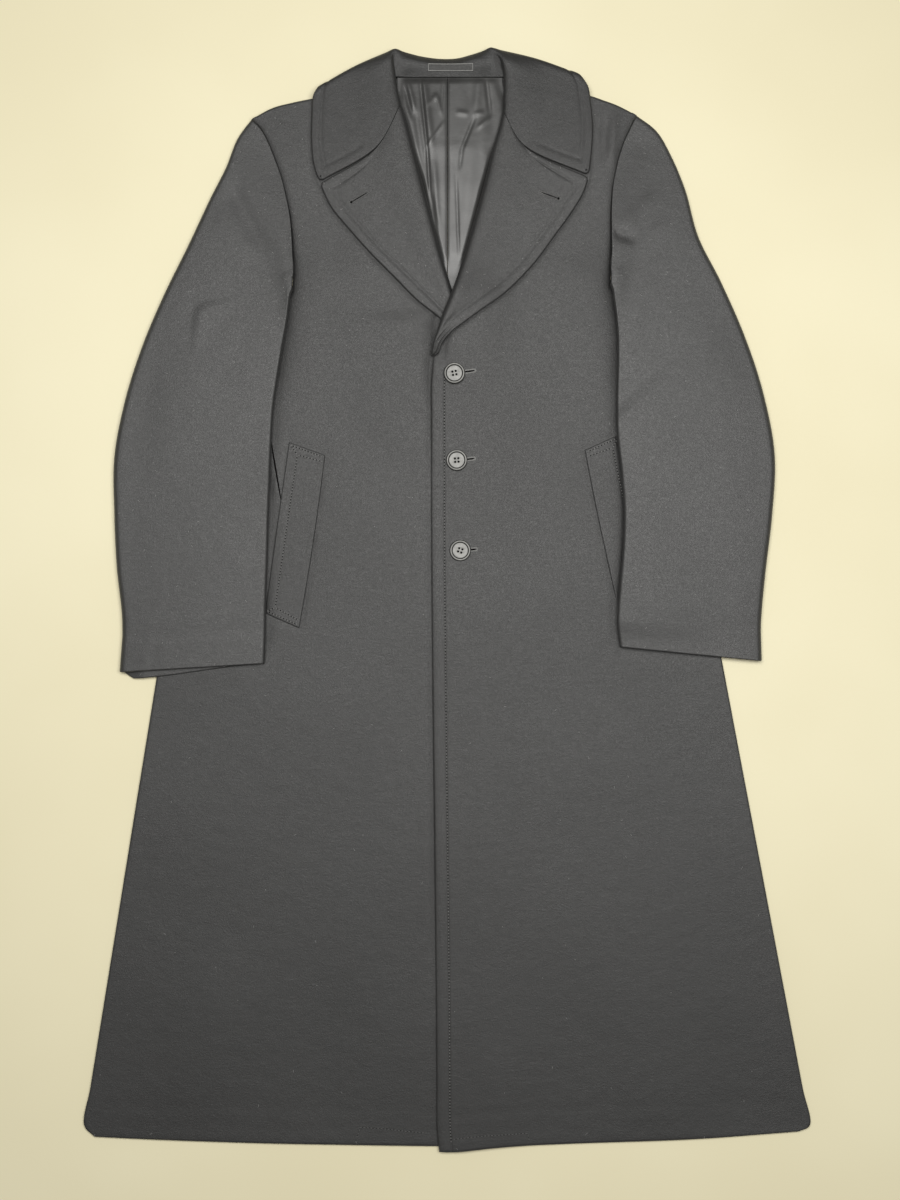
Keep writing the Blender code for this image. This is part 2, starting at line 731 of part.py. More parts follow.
def make_lapel(side, material):
    outer, inner = offset_wall(lapel_sections(side), LAPEL_CLOTH)
    return closed_wall("lapel_" + side, outer, inner, material)


def collar_flap_sections(side):
    """Control points of the sections that show on the fronts, from the gorge to the shoulder fold."""
    sections = []
    rows = COLLAR[side]
    for index, row in enumerate(rows):
        share = index / (len(rows) - 1)
        rise = mix(ROLL_TOP_RISE, PEAK_RISE, share * share)
        stand = PEAK_STAND * share * share
        seam = (row[6], row[7]) if index > 1 else seam_point(side, row[0:2], ROLL_LEG - COLLAR_LEG_TRIM)
        points = rolled_section(side, row[0:2], row[2:4], row[4:6], COLLAR_CLOTH, rise, seam, stand)
        sections.append(points)
    return sections


def collar_turn_sections(side, last_flap):
    """Sections that turn from the flap round the shoulder fold to the fall under the back."""
    half = COLLAR_CLOTH / 2.0
    fold = SHOULDER_FOLD[side]
    first_back = collar_back_sections()[0 if side == "left" else -1]
    sections = []
    for angle in TURN_ANGLES:
        turn = math.radians(angle)
        share = angle / TURN_SPAN
        seam, upper, crest = (mix_points(last_flap[i], first_back[i], share) for i in range(3))
        to_peak = max(0.0, 1.0 - abs(share - PEAK_SHARE) / PEAK_SHARE)
        peak = PEAK[side]
        if share < PEAK_SHARE:
            crest = mix_points(last_flap[2], peak, share / PEAK_SHARE)
        else:
            crest = mix_points(peak, first_back[2], (share - PEAK_SHARE) / (1.0 - PEAK_SHARE))
        upper_peak = mix_points(seam, peak, PEAK_FACE_SHARE)
        upper = mix_points(upper, upper_peak, to_peak)
        outer = []
        for flap_point, fold_point in zip(last_flap[3:], fold):
            radius = (flap_point[2] - half) / 2.0
            away_x = flap_point[0] - fold_point[0]
            away_y = flap_point[1] - fold_point[1]
            length = math.hypot(away_x, away_y)
            away = half + (length - half) * (1.0 - math.sin(turn))
            x = fold_point[0] + away_x / length * away
            y = fold_point[1] + away_y / length * away
            outer.append((x, y, half + radius * (1.0 + math.cos(turn))))
        near_back = smooth(*NEAR_BACK, share)
        outer[0] = mix_points(outer[0], first_back[3], near_back)
        sections.append([seam, upper, crest] + outer)
    return sections


def collar_back_sections():
    half = COLLAR_CLOTH / 2.0
    sections = []
    low_z = fall_lift(0.0, NECK_SEAM_Y) + STAND_SEAM_LIFT
    widest = abs(BACK_CREST[0][0])
    for x, crest_y, top_z in BACK_CREST:
        edge_x = x * mix(*FALL_SPREAD, abs(x) / widest)
        edge_y = fall_edge_y(edge_x)
        seam = (x, NECK_SEAM_Y + 1.0, low_z)
        upper = (x, crest_y - CREST_TOP_INSET, top_z - half)
        crest = (x, crest_y - half, top_z / 2.0)
        under = (x, crest_y - CREST_UNDER_INSET, half)
        middle = (mix(x, edge_x, 0.5), mix(crest_y - CREST_UNDER_INSET, edge_y, 0.5), half)
        edge = (edge_x, edge_y, half)
        sections.append([seam, upper, crest, under, middle, edge])
    return sections


def collar_sections():
    left = collar_flap_sections("left")
    right = collar_flap_sections("right")
    left_turn = collar_turn_sections("left", left[-1])
    right_turn = collar_turn_sections("right", right[-1])
    controls = left + left_turn + collar_back_sections() + right_turn[::-1] + right[::-1]
    sections = []
    for index, points in enumerate(controls):
        section = smooth_curve(points, SECTION_COUNTS)
        if index < len(left):
            section = settle(section, "left", COLLAR_CLOTH, 6)
        if index >= len(controls) - len(right):
            section = settle(section, "right", COLLAR_CLOTH, 6)
        sections.append(section)
    turns = len(TURN_ANGLES)
    first_turns = range(len(left), len(left) + turns + 1)
    last_turns = range(len(controls) - len(right) - turns - 1, len(controls) - len(right))
    for _ in range(TURN_EVENING):
        even_sections(sections, first_turns)
        even_sections(sections, last_turns)
    return sections


def even_sections(sections, rows):
    """Moves the inner columns of some sections towards the middle of their neighbours."""
    for i in rows:
        for j in range(1, SECTION_COUNTS[0] + SECTION_COUNTS[1] + SECTION_COUNTS[2]):
            middle = (sections[i - 1][j] + sections[i + 1][j]) / 2.0
            sections[i][j] = sections[i][j].lerp(middle, 0.5)


def make_collar(material):
    outer, inner = offset_wall(collar_sections(), COLLAR_CLOTH, STAND_CLOTH)
    for grid in (outer, inner):
        for row in grid:
            for point in row:
                point.z = max(point.z, 0.0)
    return closed_wall("collar", outer, inner, material)


def distance_to_line(x, y, line):
    """Distance from a point to an open line, and which side of it the point is on."""
    best = 1e9
    side = 1.0
    for p, q in zip(line, line[1:]):
        dx = q[0] - p[0]
        dy = q[1] - p[1]
        share = ((x - p[0]) * dx + (y - p[1]) * dy) / (dx * dx + dy * dy)
        share = min(max(share, 0.0), 1.0)
        far = math.hypot(x - p[0] - share * dx, y - p[1] - share * dy)
        if far < best:
            best = far
            side = math.copysign(1.0, dx * (y - p[1]) - dy * (x - p[0]))
    return best, side


def body_below_sleeve(side, x, y):
    """Height of the body panels that a sleeve lies on, which ramps to the ground beyond them."""
    line = [HEM_CORNER[side], UNDERARM[side], UNDERARM_BEND[side], ARMHOLE[side][0]]
    far, turn = distance_to_line(x, y, line)
    inside = far * turn * sign_of(side)
    body = front_top(side, x, y) + LAYER_GAP
    if side == "right":
        body += welt_below_sleeve(x, y)
    return body * smooth(-SLEEVE_RAMP_MARGIN - SLEEVE_RAMP, -SLEEVE_RAMP_MARGIN, inside)


def welt_below_sleeve(x, y):
    """Extra height where the right sleeve's edge lies on the pocket welt."""
    top = WELT["right"][0]
    low = WELT["right"][3]
    share = (y - low[1]) / (top[1] - low[1])
    edge_x = mix(low[0], top[0], share)
    across = 1.0 - smooth(edge_x + WELT_STEP_X[0], edge_x + WELT_STEP_X[1], x)
    up = smooth(low[1] - WELT_STEP_LOW[0], low[1] - WELT_STEP_LOW[1], y)
    up *= 1.0 - smooth(top[1] + WELT_STEP_HIGH[0], top[1] + WELT_STEP_HIGH[1], y)
    return (WELT_CLOTH + LAYER_GAP) * across * up


def sleeve_plan(side, row, share):
    """Plan point of a ring, from the outer fold (0) to the inner fold (1)."""
    inner_x, inner_y, outer_x, outer_y, curved, _ = SLEEVE[side][row]
    straight = mix_points((outer_x, outer_y), (inner_x, inner_y), share)
    armhole = list(reversed(ARMHOLE[side]))
    bent = along(armhole, share)
    chord = mix_points(armhole[0], armhole[-1], share)
    gap = SEAM_GAP * 1.5 * sign_of(side) if row == 0 else 0.0
    return straight[0] + curved * (bent[0] - chord[0]) + gap, straight[1] + curved * (bent[1] - chord[1])


def armhole_shares(side):
    """Shares of the armhole's length at its own points, so that seam facets meet."""
    points = list(reversed(ARMHOLE[side]))
    lengths = [math.dist(p, q) for p, q in zip(points, points[1:])]
    total = sum(lengths)
    shares = [0.0]
    for length in lengths:
        shares.append(shares[-1] + length / total)
    return shares


def sleeve_ring(side, row):
    """Outer and inner loops of one ring: over the top from fold to fold, then back below."""
    height = SLEEVE[side][row][5]
    start = sleeve_plan(side, row, 0.0)
    end = sleeve_plan(side, row, 1.0)
    width = math.dist(start, end)
    outer = []
    inner = []
    wall_share = SLEEVE_CLOTH / width
    shares = [0.0] + shares_between(side, height * FOLD_ROUNDNESS / width) + [1.0]
    ramp = [sleeve_plan(side, row, share) for share in shares]
    base = [body_below_sleeve(side, *p) for p in ramp]
    for index, share in enumerate(shares):
        x, y = ramp[index]
        at_fold = index in (0, len(shares) - 1)
        outer.append((x, y, base[index] + (height / 2.0 if at_fold else height)))
        inner_share = mix(wall_share, 1.0 - wall_share, share)
        inner_x, inner_y = sleeve_plan(side, row, inner_share)
        inner_z = height / 2.0 if at_fold else height - SLEEVE_CLOTH
        inner.append((inner_x, inner_y, base[index] + inner_z))
    for index in range(len(shares) - 2, 0, -1):
        x, y = ramp[index]
        outer.append((x, y, base[index]))
        inner_share = mix(wall_share, 1.0 - wall_share, shares[index])
        inner_x, inner_y = sleeve_plan(side, row, inner_share)
        inner.append((inner_x, inner_y, base[index] + SLEEVE_CLOTH))
    return outer, inner


def ring_shares(side):
    """Columns of a sleeve ring: the armhole's points, with more between them."""
    shares = armhole_shares(side)
    result = []
    for low, high in zip(shares, shares[1:]):
        result.append(low)
        if high - low > 0.1:
            result.append((low + high) / 2.0)
    return result + [1.0]


def shares_between(side, margin):
    inner = ring_shares(side)[1:-1]
    kept = [share for share in inner if share > 0.0]
    return [margin if kept[0] > margin else kept[0] * 0.5] + kept + [1.0 - min(margin, (1.0 - kept[-1]) * 0.5)]


def make_sleeve(side, material):
    rings = [sleeve_ring(side, row) for row in range(len(SLEEVE[side]))]
    outer = [ring[0] for ring in rings]
    inner = [ring[1] for ring in rings]
    return closed_wall("sleeve_" + side, outer, inner, material, ring=True)


def make_welt(side, material):
    top_open, top_front, low_front, low_open = WELT[side]
    grid = []
    for row in range(WELT_ROWS):
        down = row / (WELT_ROWS - 1)
        opening = mix_points(top_open, low_open, down)
        front = mix_points(top_front, low_front, down)
        bow = -WELT_BOW * 4.0 * down * (1.0 - down) * sign_of(side)
        line = []
        for column in range(WELT_COLUMNS):
            share = column / (WELT_COLUMNS - 1)
            x, y = mix_points(opening, front, share)
            line.append((x + bow * share, y))
        grid.append(line)

    def bottom(x, y):
        return front_top(side, x, y) + SEAM_GAP

    return laid_panel("welt_" + side, grid, bottom, lambda x, y: bottom(x, y) + WELT_CLOTH, material)


def button_profile():
    """Half section of a button, from the dish's edge over the rim to the edge of its flat back."""
    radius = BUTTON_RADIUS
    height = BUTTON_HEIGHT
    return (
        (radius - BUTTON_RIM - BUTTON_RIM_SLOPE, height - BUTTON_DISH),
        (radius - BUTTON_RIM, height - 0.25),
        (radius - BUTTON_RIM * 0.5, height),
        (radius - 0.35, height - BUTTON_EDGE_DROP),
        (radius, height * 0.5),
        (radius - 1.2, 0.3),
        (radius - BUTTON_BACK_INSET, 0.0),
    )


def circle(middle_x, middle_y, radius, z, count, turned=0.0):
    points = []
    for step in range(count):
        angle = turned + 2.0 * math.pi * step / count
        points.append((middle_x + radius * math.cos(angle), middle_y + radius * math.sin(angle), z))
    return points


def button_shape(turned):
    """A turned disc with a raised rim and four thread holes right through it."""
    points = []
    rings = []
    for radius, z in button_profile():
        rings.append(range(len(points), len(points) + BUTTON_SEGMENTS))
        points.extend(circle(0.0, 0.0, radius, z, BUTTON_SEGMENTS))
    holes = []
    reach = BUTTON_HOLE_OFFSET * math.sqrt(2.0)
    dish_z = BUTTON_HEIGHT - BUTTON_DISH
    for corner in range(4):
        angle = math.radians(turned + 45.0 + 90.0 * corner)
        pair = []
        for z in (dish_z, 0.0):
            pair.append(range(len(points), len(points) + BUTTON_HOLE_SIDES))
            hole_x = reach * math.cos(angle)
            hole_y = reach * math.sin(angle)
            points.extend(circle(hole_x, hole_y, BUTTON_HOLE_RADIUS, z, BUTTON_HOLE_SIDES, angle))
        holes.append(pair)
    faces = []
    for upper, lower in list(zip(rings, rings[1:])) + holes:
        for step in range(len(upper)):
            after = (step + 1) % len(upper)
            faces.append([upper[step], lower[step], lower[after], upper[after]])
    for outline, level in ((rings[0], 0), (rings[-1], 1)):
        loops = [list(outline)] + [list(pair[level]) for pair in holes]
        flat = [index for loop in loops for index in loop]
        vectors = [[Vector(points[index]) for index in loop] for loop in loops]
        for triangle in tessellate_polygon(vectors):
            faces.append([flat[corner] for corner in triangle])
    return points, faces


def make_buttons(material):
    for number, (x, y, turned) in enumerate(BUTTONS, start=1):
        reach = (-BUTTON_RADIUS, -BUTTON_RADIUS / 2.0, 0.0, BUTTON_RADIUS / 2.0, BUTTON_RADIUS)
        high = max(front_top("right", x + dx, y + dy) for dx in reach for dy in reach)
        points, faces = button_shape(turned)
        placed = [(px + x, py + y, pz + high + SEAM_GAP) for px, py, pz in points]
        new_object("button_%d" % number, placed, faces, material, 35.0)


def stand_surface(x, y):
    """Height of the collar stand's face behind the neck, at a plan point."""
    sections = collar_back_sections()
    low, high = next(pair for pair in zip(sections, sections[1:]) if x <= pair[1][0][0])
    share = (x - low[0][0]) / (high[0][0] - low[0][0])
    section = [mix_points(p, q, share) for p, q in zip(low, high)]
    face = smooth_curve(section, (6, 6, 1, 1, 1))
    for p, q in zip(face, face[1:]):
        if p.y <= y <= q.y:
            slope = (q.z - p.z) / (q.y - p.y)
            middle = p.z + slope * (y - p.y)
            return middle + STAND_CLOTH / 2.0 * math.sqrt(1.0 + slope * slope)


def make_label(material):
    width, height, thickness = LABEL_SIZE
    grid = []
    for row in range(LABEL_ROWS + 1):
        y = LABEL_MIDDLE[1] + (row / LABEL_ROWS - 0.5) * height
        shares = [column / LABEL_COLUMNS - 0.5 for column in range(LABEL_COLUMNS + 1)]
        grid.append([(LABEL_MIDDLE[0] + share * width, y) for share in shares])

    def bottom(x, y):
        return stand_surface(x, y) + LABEL_GAP

    return laid_panel("neck_label", grid, bottom, lambda x, y: bottom(x, y) + thickness, material)


def build_coat():
    clear_scene()
    wool = make_material("wool", WOOL)
    collar_wool = make_material("wool_collar", WOOL_COLLAR)
    satin = make_material("satin_lining", SATIN)
    horn = make_material("button_horn", HORN)
    label = make_material("label_cloth", LABEL_CLOTH)
    for side in ("left", "right"):
        make_back(side, wool)
        make_lining(side, satin)
        make_front(side, wool)
        make_lapel(side, wool)
        make_sleeve(side, wool)
        make_welt(side, wool)
    make_collar(collar_wool)
    make_label(label)
    make_buttons(horn)


build_coat()
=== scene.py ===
"""Scene for the long single-breasted wool overcoat, laid on its back.

Sizes are in millimetres in the coat's own plan, +Y towards the collar and +Z up, and are
turned into metres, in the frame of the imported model, when a mesh is made.
Left and right are those of someone who looks down on the coat.
"""

import math

import bpy
import numpy as np
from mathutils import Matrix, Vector
from mathutils.bvhtree import BVHTree
from mathutils.geometry import tessellate_polygon
from numpy.linalg import norm


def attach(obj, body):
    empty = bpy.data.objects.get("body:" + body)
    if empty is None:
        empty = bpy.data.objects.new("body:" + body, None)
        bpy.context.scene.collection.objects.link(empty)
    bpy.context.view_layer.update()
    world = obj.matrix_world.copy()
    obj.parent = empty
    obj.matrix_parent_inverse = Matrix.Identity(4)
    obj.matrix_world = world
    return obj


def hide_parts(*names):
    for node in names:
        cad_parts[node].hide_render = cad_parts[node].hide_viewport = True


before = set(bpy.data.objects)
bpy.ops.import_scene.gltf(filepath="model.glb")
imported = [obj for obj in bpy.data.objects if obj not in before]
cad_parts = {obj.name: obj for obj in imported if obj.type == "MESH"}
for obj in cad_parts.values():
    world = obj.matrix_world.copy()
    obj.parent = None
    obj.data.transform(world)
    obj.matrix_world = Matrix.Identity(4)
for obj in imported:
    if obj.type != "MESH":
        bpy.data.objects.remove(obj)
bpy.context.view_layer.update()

MM = 0.001
SHIFT = np.array((-0.58, 1.72, 0))
SIDES = ("left", "right")

# Layers and walls of the cloth
CLOTH = 2.5
CHEST_CLOTH = 3.4
PAD_EXTRA = 2.6
LAPEL_CLOTH = 3.2
COLLAR_CLOTH = 3.4
STAND_CLOTH = 2.4
SLEEVE_CLOTH = 2.4
LINING_CLOTH = 0.9
WELT_CLOTH = 2.2
SEAM_GAP = 0.3
LAYER_GAP = 0.6
RAMP_GAP = 0.9
ROLL_LEG = 11
LEG_GAP = 0.45

# Places and sizes
CENTRE_X = 1
FRONT_EDGE_X = -17.5
UNDER_EDGE_X = 35.5
NECK_SEAM_Y = 598.6
HEM_Y = -627.5
LINING_LOW_Y = 322
# The collar's fall behind the neck: its lower edge, and how high the layers climb over it
FALL_LOW_Y = 533
FALL_RISE = 53
FALL_HALF_WIDTH = 156
FALL_LIFT = 4.4
SPANNED_LIFT = 5.3
# Where the top front passes over the under lapel
BREAK_MIDDLE = (3, 328)
BREAK_SIZE = (90, 105)
BREAK_LIFT = 4.8
BREAK_GAP = 0.8
# Distances of sewn rows from their edges
STITCH_INSET = 15
BAND_INSET = 13
WELT_INSET = 11
# Height of a sleeve at its outer and inner fold, and how far its under side shows at the cuff
SLEEVE_PLUMP = (13.8, 7.9)
LONGER_UNDER = {"left": 8.5, "right": -5}
WELT_SIZE = (200, 42)
WELT_BOW = 1.6
BUTTON_RADIUS = 12.2
THREAD_HOLE_REACH = 2.75
LABEL_MIDDLE = (4.6, 608.8)
LABEL_SIZE = (52, 8.6)

# Camera, light and floor, in metres
CAMERA_PLACE = (0.00342, 0.00172, 2)
LIGHT_PLACE = (0.09, 0.345, 2.15)
LIGHT_AIM = (0.02, 0.14, 0)
LIGHT_SIZE = (1.8, 0.8)
FLOOR_HALF = 2.6

# Distances from a rim at which a grid has a line, so that the rim is round
LIP = np.array((0, 0.07, 0.28, 0.6, 1, 1.5, 2.4, 4))
EDGE_COLUMNS = np.concatenate([LIP, (6, 9, 11.5, 13, 13.8, 14.5, 15, 15.5, 16.2, 17, 18.5, 21)])

# Outlines of the body: (x, y)
SKIRT_Y = (-603, -560, -480, -400, -320, -240, -160, -80, 0, 80, 150, 210, 255, 288)
UNDERARM = {"left": (-266.7, 319), "right": (242.6, 319)}
UNDERARM_BEND = {"left": (-222, 331), "right": (214, 333)}
HEM_CORNER = {"left": (-416, -604), "right": (417, -603)}
ARMHOLE = {
    "left": (
        (-179.3, 355.1), (-176.6, 387.1), (-177.4, 416.9), (-180, 442.1), (-185, 466.2), (-190, 485.6),
        (-197, 505.1), (-205.6, 526.2), (-213.5, 540), (-223.5, 550),
    ),
    "right": (
        (190.1, 360.8), (189.6, 395.2), (189, 426.1), (189, 446.1), (190.9, 473.7), (194.4, 492.5),
        (197.3, 505.1), (203, 523), (210.7, 540), (218, 554.5),
    ),
}
SHOULDER = {
    "left": ((-223.5, 550), (-199, 563), (-177, 568.7), (-154, 573.5), (-99, 587), (-70.5, 596.5)),
    "right": ((218, 554.5), (194.3, 566.4), (179.4, 571.6), (164.5, 576.7), (113, 590.5), (80.5, 600)),
}
HEM = {
    "left": ((-404, -616), (-340, -619), (-210, -623.5), (-110, -625.5), (36, -627.5)),
    "right": ((404, -610), (290, -618.5), (130, -624.5), (54, -628.5), (12, -632.8), (-8.5, -632.5)),
}
EDGE_TOP = {"left": ((35.5, 255), (35.5, 290), (24, 312)), "right": ((-17.5, 250),)}

# Lapels, a row for each section from the gorge seam down:
# (roll_x, roll_y, middle_x, middle_y, edge_x, edge_y, width of the leg under the roll)
LAPEL = {
    "left": (
        (-52.2, 565.6, -79.3, 516.4, -144.6, 475.6, 11), (-46.3, 546.1, -85.1, 495.9, -140, 463.9, 11),
        (-38.3, 516.4, -82.8, 471.9, -130.8, 446.7, 11), (-29.1, 483.3, -71.4, 446.7, -114.8, 427.3, 11),
        (-17.7, 439.9, -55.4, 412.5, -87.4, 396.5, 11), (-7.4, 399.9, -36, 381.6, -60, 369, 11),
        (1.7, 370.2, -16.6, 356.5, -32.6, 341.6, 11), (9.7, 345, 0.2, 335.6, -9.2, 323.6, 11),
        (16.6, 326.8, 9.7, 320.4, 3.6, 311.6, 10),
    ),
    "right": (
        (64.6, 557.6, 87.4, 518.6, 162.5, 482.6, 11), (61.1, 542.2, 99.9, 498.8, 156.9, 465.7, 11),
        (53.1, 515.9, 98.7, 474.8, 145.5, 446.3, 11), (43.9, 479.4, 88.5, 446.3, 125, 417.7, 11),
        (31.4, 433.7, 67.9, 410.9, 99.3, 383.4, 11), (18.8, 390.4, 45.1, 374.4, 66.8, 350.4, 11),
        (7.4, 356.1, 24.5, 342.4, 38.4, 329.6, 11), (-2.8, 331, 9, 322.5, 20, 316, 11),
        (-9.2, 313, -1.2, 308.6, 6.8, 306.2, 8), (-14, 297, -9, 294.6, -4.2, 293.2, 5),
        (-16.4, 285.5, -12.6, 283.6, -8.8, 282.2, 3.4), (-17.3, 279.6, -15.6, 278.8, -13.6, 278.2, 2.6),
    ),
}

# Collar flaps on the fronts, from the gorge seam up to the shoulder fold:
# (roll_x, roll_y, middle_x, middle_y, edge_x, edge_y, seam_x, seam_y)
COLLAR = {
    "left": (
        (-52.3, 565.95, -79.6, 516.75, -145.6, 477, -62.2, 563.4),
        (-54.8, 579.5, -98.7, 536.2, -152.3, 498.5, -65, 577.6),
        (-57, 593.2, -105.5, 556.7, -154.6, 527, -66.5, 587),
        (-58.7, 606.9, -107.8, 578.4, -154, 555.6, -65.5, 594),
        (-60.2, 618.5, -106.7, 596, -153, 573, -62, 598.5),
    ),
    "right": (
        (64.7, 557.95, 87.7, 518.95, 162.6, 484.2, 74.8, 556),
        (64.5, 573.8, 112.4, 540.7, 166, 513.4, 74.7, 573.4),
        (64.5, 588.7, 118.1, 562.4, 167.1, 541.9, 75, 583),
        (64, 602.3, 115.8, 584.1, 164.9, 565.1, 72, 592), (60.5, 616.3, 112.4, 601.5, 162, 585, 66, 598),
    ),
}
SHOULDER_FOLD = {
    "left": ((-69, 627), (-103.2, 611), (-149.6, 585)),
    "right": ((61.5, 629.5), (101, 619), (154, 600.5)),
}
PEAK = {"left": (-59.6, 628.4, 18.6), "right": (51.2, 629.4, 18.6)}
PEAK_SHARE = 0.3
TURN_ANGLES = (30, 55, 75, 90, 105, 125, 150, 180)
TURN_SPAN = 215
BACK_CREST = (
    (-46, 626.5, 16.4), (-30, 623.5, 14.5), (-9, 620.8, 12.8), (12, 621.2, 12.8), (28, 625, 14.5),
    (41, 628, 16.4),
)

# Sleeves, a row for each ring from the armhole to the cuff: (inner_x, inner_y, outer_x, outer_y)
SLEEVE = {
    "left": (
        (-179.3, 355.1, -223.5, 550), (-181.2, 337.1, -239.1, 527.4), (-184, 315.3, -251.7, 495.3),
        (-188, 292.4, -268.9, 460.9), (-192.6, 263.7, -294.1, 407), (-198.4, 223.6, -322.8, 348.6),
        (-201.2, 183.4, -348, 288.9), (-203, 137.6, -367.5, 227), (-204.7, 91.7, -379.5, 162.8),
        (-205.8, 45.9, -379.5, 100.9), (-207.5, 0, -376.7, 39), (-208.1, -40.1, -370.3, -25.2),
        (-209.3, -72.8, -373.2, -82.6),
    ),
    "right": (
        (190.1, 360.8, 218, 554.5), (192, 344, 240.2, 536.6), (194.9, 323.3, 255.1, 511.4),
        (196.6, 300.4, 272.3, 470.1), (196.6, 272.9, 287.2, 416.2), (195.5, 235, 313.6, 363.5),
        (195.5, 192.6, 341.1, 300.4), (200.1, 149.1, 361.7, 237.3), (203.5, 105.5, 374.9, 166.2),
        (202.4, 59.6, 372, 97.5), (198.3, 11.5, 364, 28.7), (196, -25.2, 359.4, -25.2),
        (199.5, -53.9, 360, -69.9),
    ),
}
# How far the first rings follow the armhole's curve, and the heights that they grow from
SLEEVE_CURVE = (1, 0.8, 0.55, 0.3, 0.12, 0)
SLEEVE_HEIGHT = (9.4, 9.4, 8.8, 8, 7.4)

# Welts: the opening side's top, the front side's top and bottom, the opening side's bottom
WELT = {
    "left": ((-180.4, 181), (-139.2, 166.1), (-169, -32.1), (-208.5, -14.9)),
    "right": ((198.7, 190.1), (158.6, 171.8), (201, -25.2), (241.1, -6.9)),
}

# Buttons: (x, y, turned by, in degrees), and their buttonholes' outer ends: (x, y)
BUTTONS = ((9, 259.1, 12), (11.7, 160, 4), (15.7, 56.7, -20))
HOLE_ENDS = ((32, 262.4), (31.5, 162), (33.8, 58.2))

# Half section of a button, from the dish over the rim to its flat back: (radius, height)
BUTTON_PROFILE = (
    (7.7, 2.85), (8.4, 2.83), (8.75, 2.7), (8.95, 2), (9.25, 1.4), (9.6, 2), (9.75, 3), (9.85, 3.6),
    (10.05, 3.88), (10.4, 3.98), (10.9, 3.9), (11.2, 3.6), (11.45, 3), (11.7, 2.2), (12, 1.5), (12.2, 1),
    (12, 0.6), (11.2, 0.2), (9.6, 0),
)

# Soft folds in the cloth: (x, y, x, y, half width, height), along a line in plan
BODY_FOLDS = (
    (-134, 230, -30, 120, 26, -0.9), (-90, 240, -30, 170, 20, 0.5), (192, 553, 188, 500, 6, 1.3),
    (182, 551, 178, 505, 6, -0.9), (-115, 9, -40, 3, 3, 0.25), (30, 40, 90, 18, 4, 0.3),
    (-205.5, 186, -193.5, 116, 4.5, 1.3), (-250, -420, -300, -600, 40, 1.2),
    (-120, -450, -140, -620, 34, -0.8), (200, -430, 250, -620, 40, 1.1), (320, -480, 345, -610, 26, -0.9),
    (60, -520, 70, -622, 22, 0.7),
)
SLEEVE_FOLDS = {
    "left": (
        (-250, 478, -212, 406, 9, -1.7), (-262, 440, -228, 390, 13, 0.7), (-250, 330, -320, 220, 30, 0.6),
        (-300, 120, -372, 80, 24, -0.5), (-340, 260, -352, 120, 22, -0.6), (-230, 60, -300, 20, 22, 0.5),
    ),
    "right": (
        (190, 420, 216, 412, 5, -2.8), (200, 424, 236, 462, 9, 1.1), (206, 400, 252, 430, 10, 0.8),
        (214, 445, 238, 490, 9, -0.7), (250, 340, 330, 240, 28, 0.6), (230, 120, 330, 60, 26, -0.5),
    ),
}
LINING_FOLDS = (
    (-30.5, 600, -22, 515, 1.5, -1.5), (-22, 515, -19, 465, 1.7, -1.4), (-19, 465, -11, 425, 3, -1.4),
    (-27, 600, -17, 520, 4, 1.4), (-44, 592, -36, 560, 2.2, 1), (-36, 560, -27, 500, 3.5, -1),
    (-48, 588, -40, 555, 1.6, -1.2), (-3, 546, -23, 518, 1.4, 1), (-20, 566, -12, 578, 2.4, 0.9),
    (-11, 576, -6, 556, 1.8, 0.9), (12, 558, 24, 556, 2.4, 1.2), (32, 555, 42, 558, 2.2, 1.2),
    (32, 552, 18, 517, 1.8, -1.5), (18, 517, 15, 495, 2, -0.8), (11, 485, 14, 400, 1.6, -0.8),
    (45, 600, 50, 556, 2.2, -1.5), (38, 604, 33, 556, 4.5, 1.1), (36, 540, 50, 552, 2.2, 1.1),
    (24, 598, 26, 566, 6, -0.5), (30, 520, 20, 420, 7, 0.8), (-3, 598, -6, 566, 2, -0.7),
    (-14, 500, -10, 430, 3.5, 1.1),
)

# Profiles of a hole in a button and of the thread in it: (radius, height)
HOLE_PROFILE = ((1.4, 2.85), (1.3, 2.78), (1.25, 2.5), (1.25, 0))
THREAD_PROFILE = ((0.46, 0.1), (1.15, 0.8), (1.15, 1.6), (0.46, 2.2))

# Worked slits, from end to end, and the rows where the facing is sewn to the hem
LAPEL_HOLE = {"left": ((-90, 465), (-109.4, 453.6)), "right": ((107, 465.6), (128.6, 458))}
POCKET_OPENING = ((-202.5, 188), (-189.5, 112.5))
HEM_ROW = {
    "left": ((-104, -618.6), (-99, -605), (-74, -606.5), (-36, -610.5), (-24, -611.5)),
    "right": ((6, -618), (44, -613.8), (93, -611.5), (95, -621)),
}


def smooth(low, high, value):
    share = np.clip((np.asarray(value, float) - low) / (high - low), 0, 1)
    return share * share * (3 - 2 * share)


def mix(a, b, share):
    return a + (b - a) * share


def bell(value):
    return np.exp(-np.square(value))


def sign_of(side):
    return -1 if side == "left" else 1


def fade(distance, width):
    """1 where distance is 0 or less, and down to nothing beyond it."""
    return np.exp(-np.maximum(distance, 0) / width)


def unit(vectors):
    return vectors / np.maximum(norm(vectors, axis=-1, keepdims=True), 1e-9)


def extended(grid):
    """A grid with one more row at both ends, in line with the last two."""
    return np.concatenate([2 * grid[:1] - grid[1:2], grid, 2 * grid[-1:] - grid[-2:-1]])


